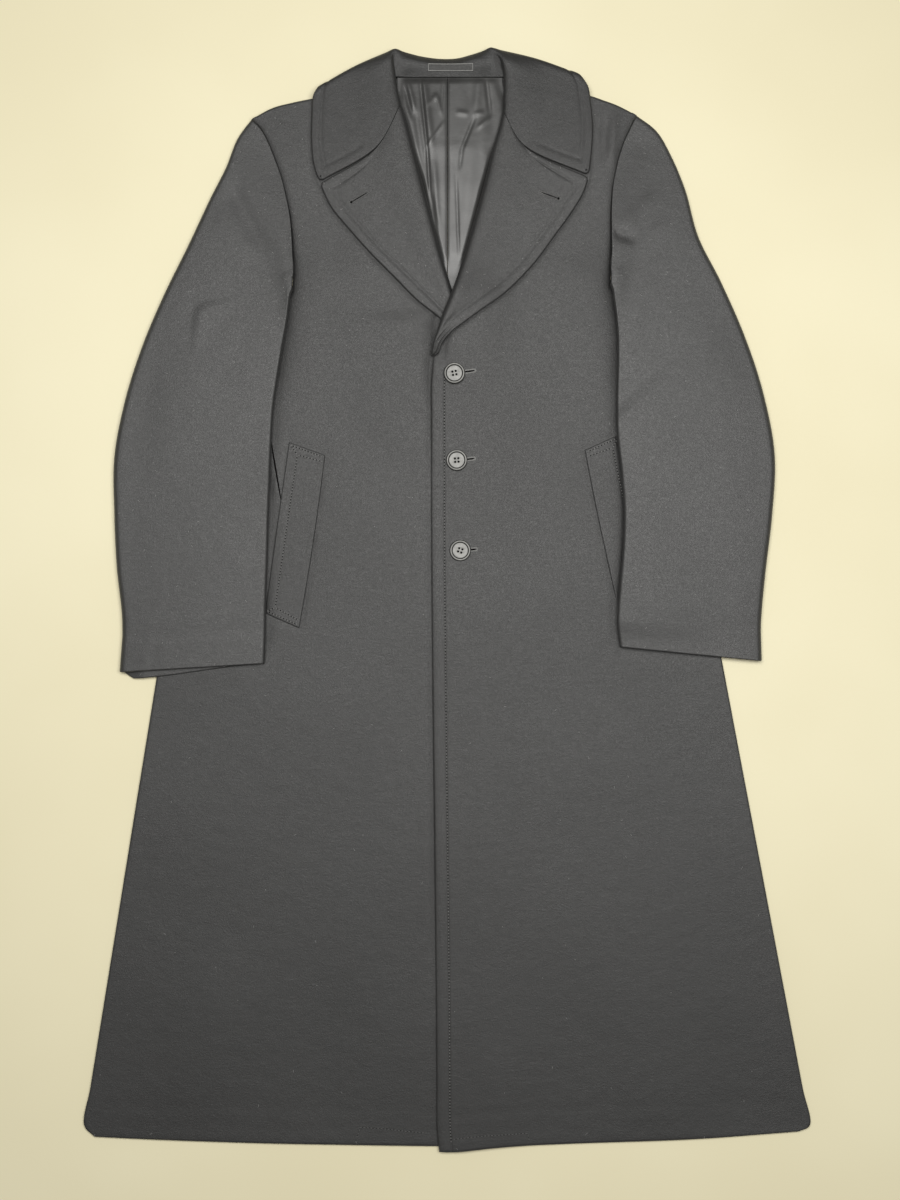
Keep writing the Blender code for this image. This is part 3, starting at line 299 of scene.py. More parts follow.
def spline(points, t):
    """Centripetal Catmull-Rom through points, at places t counted in points."""
    p = extended(np.asarray(points, float))
    t = np.asarray(t, float)
    index = np.clip(np.floor(t).astype(int), 0, len(p) - 4)
    q0, q1, q2, q3 = (p[index + k] for k in range(4))
    d0, d1, d2 = (
        np.sqrt(np.maximum(norm(b - a, axis=-1, keepdims=True), 1e-6))
        for a, b in ((q0, q1), (q1, q2), (q2, q3))
    )
    t2 = d0 + d1
    t3 = t2 + d2
    shape = t.shape + (1,) * (q0.ndim - t.ndim)
    u = d0 + (t - index).reshape(shape) * d1
    a1 = (d0 - u) / d0 * q0 + u / d0 * q1
    a2 = (t2 - u) / d1 * q1 + (u - d0) / d1 * q2
    a3 = (t3 - u) / d2 * q2 + (u - t2) / d2 * q3
    b1 = (t2 - u) / t2 * a1 + u / t2 * a2
    b2 = (t3 - u) / (t3 - d0) * a2 + (u - d0) / (t3 - d0) * a3
    return (t2 - u) / d1 * b1 + (u - d0) / d1 * b2


def at_shares(points, shares):
    """Points of a smooth curve at shares of its length."""
    dense = spline(points, np.linspace(0, len(points) - 1, 30 * len(points)))
    steps = norm(np.diff(dense, axis=0), axis=1)
    run = np.concatenate([[0], np.cumsum(steps)]) / steps.sum()
    return np.stack([np.interp(shares, run, dense[:, k]) for k in range(dense.shape[1])], -1)


def spans(lengths, step):
    """Places along a chain of spans of these lengths, close together at both rims."""
    places = [LIP / lengths[0]]
    for index, (length, pitch) in enumerate(zip(lengths, np.broadcast_to(step, len(lengths)))):
        count = max(1, int(math.ceil(length / pitch)))
        places.append(index + np.arange(count) / count)
    last = len(lengths)
    places.append(last - LIP / lengths[-1])
    places = np.unique(np.round(np.concatenate(places), 5))
    keep = np.concatenate([[True], np.diff(places) > 1e-4])
    return np.clip(places[keep], 0, last)


def run_down(grid):
    """Distance along each column of a grid from its first row."""
    steps = norm(np.diff(grid, axis=0), axis=-1)
    return np.concatenate([np.zeros((1, grid.shape[1])), np.cumsum(steps, axis=0)])


def rim_distances(grid, ring=False):
    """Distances of a grid's points from its first row, last row, first column and last column."""
    down = run_down(grid)
    if ring:
        far = np.full(grid.shape[:2], 1e6)
        return down, down[-1:] - down, far, far
    across = run_down(grid.swapaxes(0, 1)).T
    return down, down[-1:] - down, across, across[:, -1:] - across


def rounding(distance, radius):
    return np.sqrt(np.clip(1 - np.square(1 - np.minimum(distance / radius, 1)), 0, 1))


def round_corner(grid, last_row, last_column, radius):
    """Rounds one corner of a grid in plan."""
    view = grid[::-1] if last_row else grid
    view = view[:, ::-1] if last_column else view
    down, _, across, _ = rim_distances(view[..., :2])
    a_way = unit(view[min(6, len(view) - 1), 0, :2] - view[0, 0, :2])
    b_way = unit(view[0, min(6, view.shape[1] - 1), :2] - view[0, 0, :2])
    a = down - radius
    b = across - radius
    largest = np.maximum(np.abs(a), np.abs(b))
    near = (down < radius) & (across < radius)
    shrink = np.where(near, largest / np.maximum(np.hypot(a, b), 1e-6) - 1, 0)
    view[..., :2] += (a * shrink)[..., None] * a_way + (b * shrink)[..., None] * b_way


def in_metres(points):
    return ((np.asarray(points, float) + SHIFT) * MM).tolist()


def mesh_object(name, points, faces, material):
    """A closed mesh of quads, with its faces turned outwards."""
    used, faces = np.unique(np.asarray(faces, int), return_inverse=True)
    faces = faces.reshape(-1, 4)
    points = np.asarray(points, float)[used]
    a, b, c, d = (points[faces[:, k]] for k in range(4))
    volume = np.einsum("ij,ij->", a, np.cross(b, c)) + np.einsum("ij,ij->", a, np.cross(c, d))
    if volume < 0:
        faces = faces[:, ::-1]
    return new_piece(name, in_metres(points), faces.tolist(), material)


def new_piece(name, points, faces, material):
    mesh = bpy.data.meshes.new(name)
    mesh.from_pydata(points, [], faces)
    mesh.shade_smooth()
    mesh.materials.append(material)
    made = bpy.data.objects.new(name, mesh)
    bpy.context.scene.collection.objects.link(made)
    return made


def shell(name, upper, lower, material, ring=False):
    """A closed piece of cloth between two grids that meet at their rims."""
    rows, columns = upper.shape[:2]
    index = np.arange(rows * columns).reshape(rows, columns)
    under = index + rows * columns
    under[0] = index[0]
    under[-1] = index[-1]
    if ring:
        index = np.hstack([index, index[:, :1]])
        under = np.hstack([under, under[:, :1]])
    else:
        under[:, 0] = index[:, 0]
        under[:, -1] = index[:, -1]
    quads = []
    for grid in (index, under[:, ::-1]):
        corners = (grid[:-1, :-1], grid[:-1, 1:], grid[1:, 1:], grid[1:, :-1])
        quads.append(np.stack(corners, -1).reshape(-1, 4))
    points = np.concatenate([upper.reshape(-1, 3), lower.reshape(-1, 3)])
    return mesh_object(name, points, np.concatenate(quads), material)


def laid(name, plan, bottom, top, material, groove=0, radius=None):
    """A panel that lies flat, with round rims; groove lowers its face."""
    nearest = np.min(rim_distances(plan), axis=0)
    half = (top - bottom) / 2
    bulge = half * rounding(nearest, half if radius is None else radius)
    middle = (top + bottom) / 2
    upper = np.dstack([plan, middle + bulge - np.minimum(groove, bulge)])
    return shell(name, upper, np.dstack([plan, middle - bulge]), material)


def folds(x, y, rows):
    """Height of a set of soft folds."""
    height = np.zeros(np.broadcast(x, y).shape)
    for x0, y0, x1, y1, width, rise in rows:
        dx = x1 - x0
        dy = y1 - y0
        share = ((x - x0) * dx + (y - y0) * dy) / (dx * dx + dy * dy)
        across = ((x - x0) * dy - (y - y0) * dx) / math.hypot(dx, dy)
        ends = smooth(-0.25, 0.3, share) * (1 - smooth(0.7, 1.25, share))
        height = height + rise * bell(across / width) * ends
    return height


def waves(x, y, seed, count, long_mm, short_mm, height):
    """Broad irregular waves, the same each run."""
    random = np.random.default_rng(seed)
    total = np.zeros(np.broadcast(x, y).shape)
    for _ in range(count):
        angle = random.uniform(0, math.pi)
        length = random.uniform(short_mm, long_mm)
        phase = random.uniform(0, 2 * math.pi)
        total = total + np.sin((x * math.cos(angle) + y * math.sin(angle)) * 2 * math.pi / length + phase)
    return total * height / math.sqrt(count)


def fall_edge_y(x):
    """The lower edge of the collar's fall, behind the neck."""
    return FALL_LOW_Y + FALL_RISE * np.square(x / FALL_HALF_WIDTH)


def fall_lift(x, y):
    """Height of the ground under the back, which climbs over the collar's fall."""
    return FALL_LIFT * smooth(-60, -12, y - fall_edge_y(x))


def back_top(x, y):
    return fall_lift(x, y) + CLOTH


def front_cloth(side, x, y):
    chest = (CHEST_CLOTH - CLOTH) * smooth(150, 300, y)
    end_x, end_y = SHOULDER[side][0]
    pad = PAD_EXTRA * (1 - smooth(40, 140, np.hypot(x - end_x, y - end_y)))
    return CLOTH + chest + pad


def break_rise(side, x, y):
    """1 where the top front passes over the under lapel, and a broad slope down to 0 round it."""
    if side == "left":
        return 0 * np.asarray(x, float)
    away = np.hypot((x - BREAK_MIDDLE[0]) / BREAK_SIZE[0], (y - BREAK_MIDDLE[1]) / BREAK_SIZE[1])
    return 1 - smooth(0, 1, away)


def ramp_gap(y):
    """Extra room over the steep ramp at the collar's fall."""
    return RAMP_GAP * smooth(470, 500, y)


def front_base(side, x, y):
    across = 1 - smooth(88, 133, np.abs(x - CENTRE_X))
    over_lining = (LINING_CLOTH + LAYER_GAP) * across * smooth(235, 300, y)
    base = back_top(x, y) + SEAM_GAP + ramp_gap(y) + over_lining
    if side == "right":
        lift = (front_cloth("left", x, y) + LAYER_GAP) * (1 - smooth(UNDER_EDGE_X, UNDER_EDGE_X + 70, x))
        base = base + lift * (1 - smooth(340, 400, y))
        base = base + BREAK_LIFT * break_rise(side, x, y)
    return base


def beside_sleeve(side, x, y):
    """Height of the cloth beside a sleeve, whose inner edge presses a hollow into the body."""
    rows = np.array(SLEEVE[side])[::-1, :2]
    edge = np.concatenate([rows, np.array(ARMHOLE[side])[1:7]])
    inward = -sign_of(side) * (x - np.interp(y, edge[:, 1], edge[:, 0]))
    reach = smooth(-75, -40, y) * (1 - smooth(360, 430, y))
    broad = smooth(200, 280, y) * (1 - smooth(372, 425, y)) * (1 if side == "right" else 0.7)
    narrow = 2.9 * fade(inward, 5.2)
    slope = 2.3 - 5.5 * fade(inward, 9.6)
    return mix(-narrow, slope * (1 - smooth(24, 110, inward)), broad) * reach


def from_segment(p, q, x, y):
    """Distance of plan points from a segment, and 1 or -1 for the side of it they are on."""
    dx = q[0] - p[0]
    dy = q[1] - p[1]
    share = np.clip(((x - p[0]) * dx + (y - p[1]) * dy) / (dx * dx + dy * dy), 0, 1)
    distance = np.hypot(x - p[0] - share * dx, y - p[1] - share * dy)
    return distance, np.sign(dx * (y - p[1]) - dy * (x - p[0]))


def line_distance(line, x, y):
    """Distance of plan points from a line of many short segments."""
    return np.min([from_segment(p, q, x, y)[0] for p, q in zip(line, line[1:])], axis=0)


def turned_edge(side):
    """The outer edge of a lapel and of the collar above it, from the break up."""
    points = [row[4:6] for row in LAPEL[side][::-1] + COLLAR[side]]
    return spline(points, np.linspace(0, len(points) - 1, 3 * len(points)))


TURNED_EDGES = {side: turned_edge(side) for side in SIDES}


def drape(side, x, y):
    """How far the cloth's face stands above its even thickness."""
    height = folds(x, y, BODY_FOLDS) + waves(x, y, 5, 7, 420, 170, 0.32) + beside_sleeve(side, x, y)
    if side == "left":
        edge = np.array(front_edge("right")[:14])
        edge_x = np.interp(y, edge[:, 1], edge[:, 0])
        height = height - 2.3 * fade(edge_x - x, 3.2) * (1 - smooth(270, 290, y))
    return height


def eased_lift(x, y):
    """How far a face spans above the steep ramp over the collar's fall."""
    return np.maximum(SPANNED_LIFT * smooth(225, 530, y) - fall_lift(x, y) - ramp_gap(y), 0)


def plain_top(side, x, y):
    return front_base(side, x, y) + front_cloth(side, x, y) + eased_lift(x, y)


def open_top(side, x, y):
    """Face of a front, without the crease under the turned edges."""
    return plain_top(side, x, y) + drape(side, x, y)


def break_hollow(side, x, y):
    """Depth of the hollow beside the curl at the break."""
    if side == "left":
        depth = 6.2 * fade(-12 - x, 10) - 1.8 * smooth(-140, -50, x)
        return depth * smooth(210, 262, y) * (1 - smooth(316, 336, y))
    return 2.6 * fade(x + 3, 8) * smooth(262, 284, y) * (1 - smooth(301, 312, y))


def front_top(side, x, y):
    crease = 1.5 * fade(line_distance(TURNED_EDGES[side], x, y), 2.8) * smooth(276, 292, y)
    at_armhole = 2.3 * fade(line_distance(ARMHOLE[side], x, y), 3.2)
    at_welt = 1.3 * fade(line_distance(WELT[side] + WELT[side][:1], x, y), 2.2)
    pressed = crease + at_armhole + at_welt + break_hollow(side, x, y)
    return np.maximum(open_top(side, x, y) - pressed, front_base(side, x, y) + 0.8)


def rest_height(side, x, y, cloth):
    """Middle of a turned-back layer where it lies on the front."""
    return open_top(side, x, y) + LAYER_GAP + BREAK_GAP * break_rise(side, x, y) + cloth / 2


# Body panels

def roll_points(side):
    return [row[:2] for row in LAPEL[side][::-1] + COLLAR[side][1:]]


def seam_point(side, roll, reach):
    """The point beside a roll point, at a distance across the roll line."""
    points = roll_points(side)
    nearest = min(range(len(points)), key=lambda i: math.dist(points[i], roll))
    p = points[max(nearest - 1, 0)]
    q = points[min(nearest + 1, len(points) - 1)]
    out = sign_of(side) * reach / math.dist(p, q)
    return roll[0] + (q[1] - p[1]) * out, roll[1] - (q[0] - p[0]) * out


def side_boundary(side):
    corner = HEM_CORNER[side]
    underarm = UNDERARM[side]
    points = [HEM[side][0]]
    for y in SKIRT_Y:
        share = (y - corner[1]) / (underarm[1] - corner[1])
        points.append((mix(corner[0], underarm[0], share), y))
    return points + [underarm, UNDERARM_BEND[side]] + list(ARMHOLE[side])


def front_edge(side):
    """Inner edge of a front: its straight edge, then beside the lapel's leg, up to the neck point."""
    points = [HEM[side][-1]]
    for y in SKIRT_Y[:12]:
        right_x = mix(-11, FRONT_EDGE_X, smooth(-640, 160, y))
        points.append((UNDER_EDGE_X if side == "left" else right_x, y))
    points.extend(EDGE_TOP[side])
    rows = LAPEL[side][::-1]
    for row in rows if side == "left" else rows[:-1]:
        points.append(seam_point(side, row[:2], row[6] + LEG_GAP))
    points.append(seam_point(side, COLLAR[side][1][:2], ROLL_LEG + LEG_GAP))
    return points + [SHOULDER[side][-1]]


def longest_spans(first, second):
    """Lengths of the spans of two curves side by side, the longer one of each pair."""
    return np.maximum(norm(np.diff(first, axis=0), axis=1), norm(np.diff(second, axis=0), axis=1))


def panel_plan(side_points, edge_points, hem, top, near_edge, step):
    """Plan points of a panel, in rows from the hem up and columns from the side to the inner edge."""
    side_points = np.array(side_points)
    edge_points = np.array(edge_points)
    pitches = np.where(side_points[1:, 1] > 290, 0.42 * step, 0.8 * step)
    t = spans(longest_spans(side_points, edge_points), pitches)
    outer = spline(side_points, t)
    inner = spline(edge_points, t)
    width = norm(inner - outer, axis=1)
    reach = width - LIP[-1] - near_edge[-1]
    middle = LIP[-1] + reach[:, None] * np.linspace(0, 1, int(width.max() / step))[None, 1:-1]
    places = np.hstack([np.tile(LIP, (len(t), 1)), middle, width[:, None] - near_edge[None, ::-1]])
    u = (places / width[:, None])[..., None]
    plan = mix(outer[:, None], inner[:, None], u)
    last = len(side_points) - 1
    for curve, row, weight in ((hem, 0, 1 - smooth(0, 2.5, t)), (top, last, smooth(last - 6, last, t))):
        straight = mix(side_points[row], edge_points[row], u)
        plan = plan + weight[:, None, None] * (at_shares(curve, u[..., 0]) - straight)
    return plan


def edge_groove(side, plan):
    """The pressed hem, and the sewn line beside the right front's edge."""
    hem_distance, _, _, edge_distance = rim_distances(plan)
    hem = 0.12 * bell((hem_distance - 42) / 5) - 0.15 * bell((hem_distance - 8) / 7)
    if side == "left":
        return hem
    sewn = 0.45 * bell((edge_distance - STITCH_INSET) / 1.1) - 0.5 * bell((edge_distance - 7.5) / 4.5)
    return hem + sewn * (1 - smooth(262, 275, plan[..., 1]))


def make_front(side, material):
    plan = panel_plan(side_boundary(side), front_edge(side), HEM[side], SHOULDER[side], EDGE_COLUMNS, 5.5)
    x, y = plan[..., 0], plan[..., 1]
    radius = mix(3, 1, (rim_distances(plan)[2] < 6) * smooth(330, 360, y))
    bottom = front_base(side, x, y)
    top = front_top(side, x, y)
    return laid("front_cloth_" + side, plan, bottom, top, material, edge_groove(side, plan), radius)


def make_back(side, material):
    side_points = side_boundary(side)
    sign = sign_of(side)
    centre_x = CENTRE_X + sign * SEAM_GAP / 2
    seam_y = NECK_SEAM_Y - SEAM_GAP
    first = len(SKIRT_Y)
    edge = [(centre_x, HEM_Y + 1)]
    for row, point in enumerate(side_points[1:], start=1):
        share = smooth(first, len(side_points) - 1, row) if row > first else 0
        edge.append((centre_x, mix(point[1], seam_y, share)))
    top = SHOULDER[side] + ((sign * 52, seam_y), (centre_x, seam_y))
    plan = panel_plan(side_points, edge, HEM[side][:3] + (edge[0],), top, LIP, 11)
    lift = fall_lift(plan[..., 0], plan[..., 1])
    return laid("back_cloth_" + side, plan, lift, lift + CLOTH, material)


# Lining

def make_lining(side, material):
    """Half of the back lining, with loose folds where the neck is open."""
    sign = sign_of(side)
    length = NECK_SEAM_Y - SEAM_GAP - LINING_LOW_Y
    y = LINING_LOW_Y + length * spans([length], 2.2)
    points = np.array(roll_points(side))
    open_x = np.abs(np.interp(np.minimum(y, 590), points[:, 1], points[:, 0]) - CENTRE_X)
    reach = open_x + 7 * (1 - smooth(565, 594, y)) - SEAM_GAP / 2
    across = spans([60], 1.6)
    x = CENTRE_X + sign * SEAM_GAP / 2 + sign * reach[:, None] * across[None]
    y = np.tile(y[:, None], (1, len(across)))
    plan = np.dstack([x, y])
    bottom = back_top(x, y) + SEAM_GAP + ramp_gap(y)
    _, high, middle, outer = rim_distances(plan)
    loose = smooth(3, 12, outer) * smooth(0, 7, high) * smooth(372, 400, y)
    height = 0.9 * folds(x, y, LINING_FOLDS) + 0.5 + waves(x, y, 11, 6, 90, 50, 0.2)
    height = height * (0.3 + 0.7 * smooth(0, 5, middle)) - 0.5 * bell(middle / 1.6)
    over = SPANNED_LIFT * smooth(300, 560, y) - (bottom - CLOTH - SEAM_GAP)
    spanned = (over + np.hypot(over, 1.6)) / 2
    sway = x + 3.5 * np.sin(y / 17) + 2 * np.sin(y / 7.3)
    tent = 1.7 * smooth(-52, -33, sway) * (1 - smooth(38, 55, sway))
    tent = tent * smooth(430, 480, y) * (0.25 * smooth(-2, 7, high) + 0.75 * smooth(0, 90, high))
    bottom = bottom + np.maximum(height + spanned + tent, -0.15) * loose
    return laid("lining_cloth_" + side, plan, bottom, bottom + LINING_CLOTH, material)


# Rolled pieces: collar and lapels

def rolled_section(side, row, cloth, rise, seam, stand=0):
    """One section of a rolled piece: seam, leg under the roll, crest, and the turned-back part."""
    half = cloth / 2
    roll, middle, edge = row[:2], row[2:4], row[4:6]
    out = min(5 / math.dist(roll, middle), 0.4)
    start = (mix(roll[0], middle[0], out), mix(roll[1], middle[1], out))
    start_z = rest_height(side, *start, cloth) + rise
    under = min(5.8 / math.dist(roll, seam), 0.55)
    leg = (mix(roll[0], seam[0], under), mix(roll[1], seam[1], under))
    leg_z = mix(front_base(side, *leg) + half, start_z, stand)
    return np.array([
        (*seam, front_base(side, *seam) + half),
        (*leg, leg_z),
        (*seam_point(side, roll, half), (leg_z + start_z) / 2),
        (*start, start_z),
        (*middle, rest_height(side, *middle, cloth) + rise * 0.3),
        (*edge, rest_height(side, *edge, cloth)),
    ], float)


def fine_surface(net):
    """A fine grid through a net of sections, close together at the rims and round the roll."""
    net = np.array(net, float)
    lengths = norm(np.diff(net, axis=0), axis=-1).max(axis=1)
    run = np.concatenate([[0], np.cumsum(lengths)])
    ends = np.arange(1.4, 22, 1.4)
    extra = np.interp(np.concatenate([ends, run[-1] - ends]), run, np.arange(len(run)))
    t = np.unique(np.round(np.concatenate([spans(lengths, 4), extra]), 4))
    widths = norm(np.diff(net, axis=1), axis=-1).mean(axis=0)
    widths[1:3] = np.minimum(widths[1:3], 2.5)
    s = spans(widths, (3.2, 3.2, 3.2, 3.2, 1.2))
    s = np.unique(np.round(np.concatenate([s[(s < 1) | (s > 3)], np.linspace(1, 3, 24)]), 5))
    return spline(np.stack([spline(section, s) for section in net]), t), t, s


def offset_shell(name, grid, half_out, half_in, material, facing_up, ring=False, radius=3):
    """A wall round a surface, with round rims; its outer face is up at the grid place facing_up."""
    if ring:
        wide = np.concatenate([grid[:, -1:], grid, grid[:, :1]], axis=1)
    else:
        wide = extended(grid.swapaxes(0, 1)).swapaxes(0, 1)
    tall = extended(grid)
    normal = unit(np.cross(wide[:, 2:] - wide[:, :-2], tall[2:] - tall[:-2]))
    for _ in range(3):
        soft = normal.copy()
        soft[1:-1] += normal[:-2] * 0.5 + normal[2:] * 0.5
        normal = unit(soft)
    normal *= np.sign(normal[facing_up][2])
    nearest = np.min(rim_distances(grid, ring), axis=0)
    upper = grid + normal * (half_out * rounding(nearest, radius))[..., None]
    lower = grid - normal * (half_in * rounding(nearest, 1.5))[..., None]
    for face in (upper, lower):
        face[..., 2] = np.maximum(face[..., 2], 0)
    return shell(name, upper, lower, material, ring)


def band(edge_distance, inset=BAND_INSET):
    """The soft sewn band inside a finished edge."""
    puff = 0.35 * bell((edge_distance - inset * 0.5) * 2.6 / inset)
    return 0.6 * bell((edge_distance - inset) / 2.4) - puff


def settle(grid, s, side, cloth):
    """Keeps the turned-back part of a surface on top of the front."""
    z = grid[..., 2]
    lifted = np.maximum(z, rest_height(side, grid[..., 0], grid[..., 1], cloth))
    grid[..., 2] = mix(z, lifted, smooth(2.8, 3.2, s)[None])


def make_lapel(side, material):
    rows = LAPEL[side]
    last = len(rows) - 1
    net = []
    for index, row in enumerate(rows):
        rise = mix(2.2, 0.5, smooth(0.45, 0.95, index / last))
        net.append(rolled_section(side, row, LAPEL_CLOTH, rise, seam_point(side, row[:2], row[6])))
    grid, t, s = fine_surface(net)
    settle(grid, s, side, LAPEL_CLOTH)
    round_corner(grid, False, True, 5)
    low = smooth(last - 2.2, last, t)[:, None]
    if side == "right":
        grid[..., 2] -= 2.4 * low + 1.6 * smooth(last - 0.6, last, t)[:, None]
    top, _, _, edge = rim_distances(grid)
    inset = mix(BAND_INSET, 5.5, low)
    at_notch = smooth(4, 4.3, s)[None]
    sewn = mix(band(edge, inset), band(np.minimum(top, edge), inset), at_notch) * smooth(3.2, 3.6, s)[None]
    if side == "right":
        strip = smooth(7.3, 8.6, t)[:, None] * smooth(3.1, 3.5, s)[None]
        sewn = sewn + strip * (0.8 * bell((edge - 3) / 0.8) + 0.9 * bell((edge - 6.8) / 1.2))
    half = LAPEL_CLOTH / 2 * (1 - 0.35 * low) + 0 * edge
    radius = mix(0.4, 2.2, smooth(3.85, 4.2, s))[None]
    return offset_shell("lapel_cloth_" + side, grid, half - sewn, half, material, (12, -12), radius=radius)


def back_sections():
    half = COLLAR_CLOTH / 2
    sections = []
    low_z = fall_lift(0, NECK_SEAM_Y) + 3.2
    for x, crest_y, top_z in BACK_CREST:
        edge_x = x * mix(1.4, 2.66, abs(x) / 46)
        edge_y = fall_edge_y(edge_x)
        sections.append(np.array([
            (x, NECK_SEAM_Y + 0.4, low_z),
            (x, crest_y - 9, top_z - half),
            (x, crest_y - half, top_z / 2),
            (x, crest_y - 8.5, half),
            (mix(x, edge_x, 0.5), mix(crest_y - 8.5, edge_y, 0.5), half),
            (edge_x, edge_y, half),
        ], float))
    return sections


def flap_sections(side):
    sections = []
    rows = COLLAR[side]
    for index, row in enumerate(rows):
        up = (index / (len(rows) - 1)) ** 2
        sections.append(rolled_section(side, row, COLLAR_CLOTH, mix(2.2, 4.4, up), row[6:], 0.45 * up))
    return sections


def turn_sections(side, last_flap, first_back):
    """Sections from the flap round the shoulder fold to the fall under the back."""
    half = COLLAR_CLOTH / 2
    peak = np.array(PEAK[side])
    sections = []
    for angle in TURN_ANGLES:
        turn = math.radians(angle)
        share = angle / TURN_SPAN
        section = mix(last_flap, first_back, share)
        to_peak = max(0, 1 - abs(share - PEAK_SHARE) / PEAK_SHARE)
        if share < PEAK_SHARE:
            section[2] = mix(last_flap[2], peak, share / PEAK_SHARE)
        else:
            section[2] = mix(peak, first_back[2], (share - PEAK_SHARE) / (1 - PEAK_SHARE))
        section[1] = mix(section[1], mix(section[0], peak, 0.72), to_peak)
        for column, fold in zip((3, 4, 5), SHOULDER_FOLD[side]):
            flap = last_flap[column]
            radius = (flap[2] - half) / 2
            away = flap[:2] - np.array(fold)
            length = math.hypot(*away)
            reach = half + (length - half) * (1 - math.sin(turn))
            section[column, :2] = np.array(fold) + away / length * reach
            flat = math.sqrt(1 - math.sin(turn) ** 9)
            section[column, 2] = half + radius * (1 + math.copysign(flat, math.cos(turn)))
        curl = (6.5 if side == "left" else 5) * math.sin(turn) ** 4
        section[5] = section[5] + unit(section[4] - section[5]) * curl
        section[3] = mix(section[3], first_back[3], smooth(0.5, 1.4, share))
        sections.append(section)
    return sections


def collar_net():
    back = back_sections()
    left = flap_sections("left")
    right = flap_sections("right")
    left_turn = turn_sections("left", left[-1], back[0])
    right_turn = turn_sections("right", right[-1], back[-1])
    net = np.array(left + left_turn + back + right_turn[::-1] + right[::-1])
    turns = len(TURN_ANGLES)
    flaps = len(left)
    for start in (flaps, len(net) - flaps - turns - 1):
        for _ in range(3):
            for row in range(start, start + turns + 1):
                net[row, 1:4] = mix(net[row, 1:4], (net[row - 1, 1:4] + net[row + 1, 1:4]) / 2, 0.5)
    return net, flaps


def make_collar(material):
    net, flaps = collar_net()
    grid, t, s = fine_surface(net)
    for side, rows in (("left", t <= flaps - 1), ("right", t >= len(net) - flaps)):
        part = grid[rows]
        settle(part, s, side, COLLAR_CLOTH)
        grid[rows] = part
    for last_row in (False, True):
        round_corner(grid, last_row, True, 7)
    first, end, _, edge = rim_distances(grid)
    at_notch = smooth(4, 4.3, s)[None]
    ends = np.minimum(first, end)
    softer = mix(1, 0.6, smooth(0, 4, edge - ends))
    sewn = mix(band(edge), band(np.minimum(ends, edge)) * softer, at_notch)
    half = mix(STAND_CLOTH, COLLAR_CLOTH, smooth(1.6, 3, s)[None]) / 2 + 0 * edge
    out = half - sewn * smooth(3.2, 3.6, s)[None]
    radius = mix(0.4, 2.2, smooth(3.85, 4.2, s))[None]
    return offset_shell("collar_cloth", grid, out, half, material, (4, -12), radius=radius)


# Sleeves

def body_below(side, x, y):
    """Height of the body that a sleeve lies on, which ramps to the ground beyond it."""
    line = [HEM_CORNER[side], UNDERARM[side], UNDERARM_BEND[side], ARMHOLE[side][0]]
    nearest = np.full(np.shape(x), 1e9)
    hand = np.ones(np.shape(x))
    for p, q in zip(line, line[1:]):
        distance, turn = from_segment(p, q, x, y)
        hand = np.where(distance < nearest, turn, hand)
        nearest = np.minimum(distance, nearest)
    body = plain_top(side, x, y) + LAYER_GAP
    if side == "right":
        (top_x, top_y), _, _, (low_x, low_y) = WELT[side]
        edge_x = mix(low_x, top_x, (y - low_y) / (top_y - low_y))
        up = smooth(low_y - 40, low_y - 12, y) * (1 - smooth(top_y + 10, top_y + 34, y))
        body = body + (WELT_CLOTH + LAYER_GAP) * (1 - smooth(8, 28, x - edge_x)) * up
    return body * smooth(-44, -14, nearest * hand * sign_of(side))


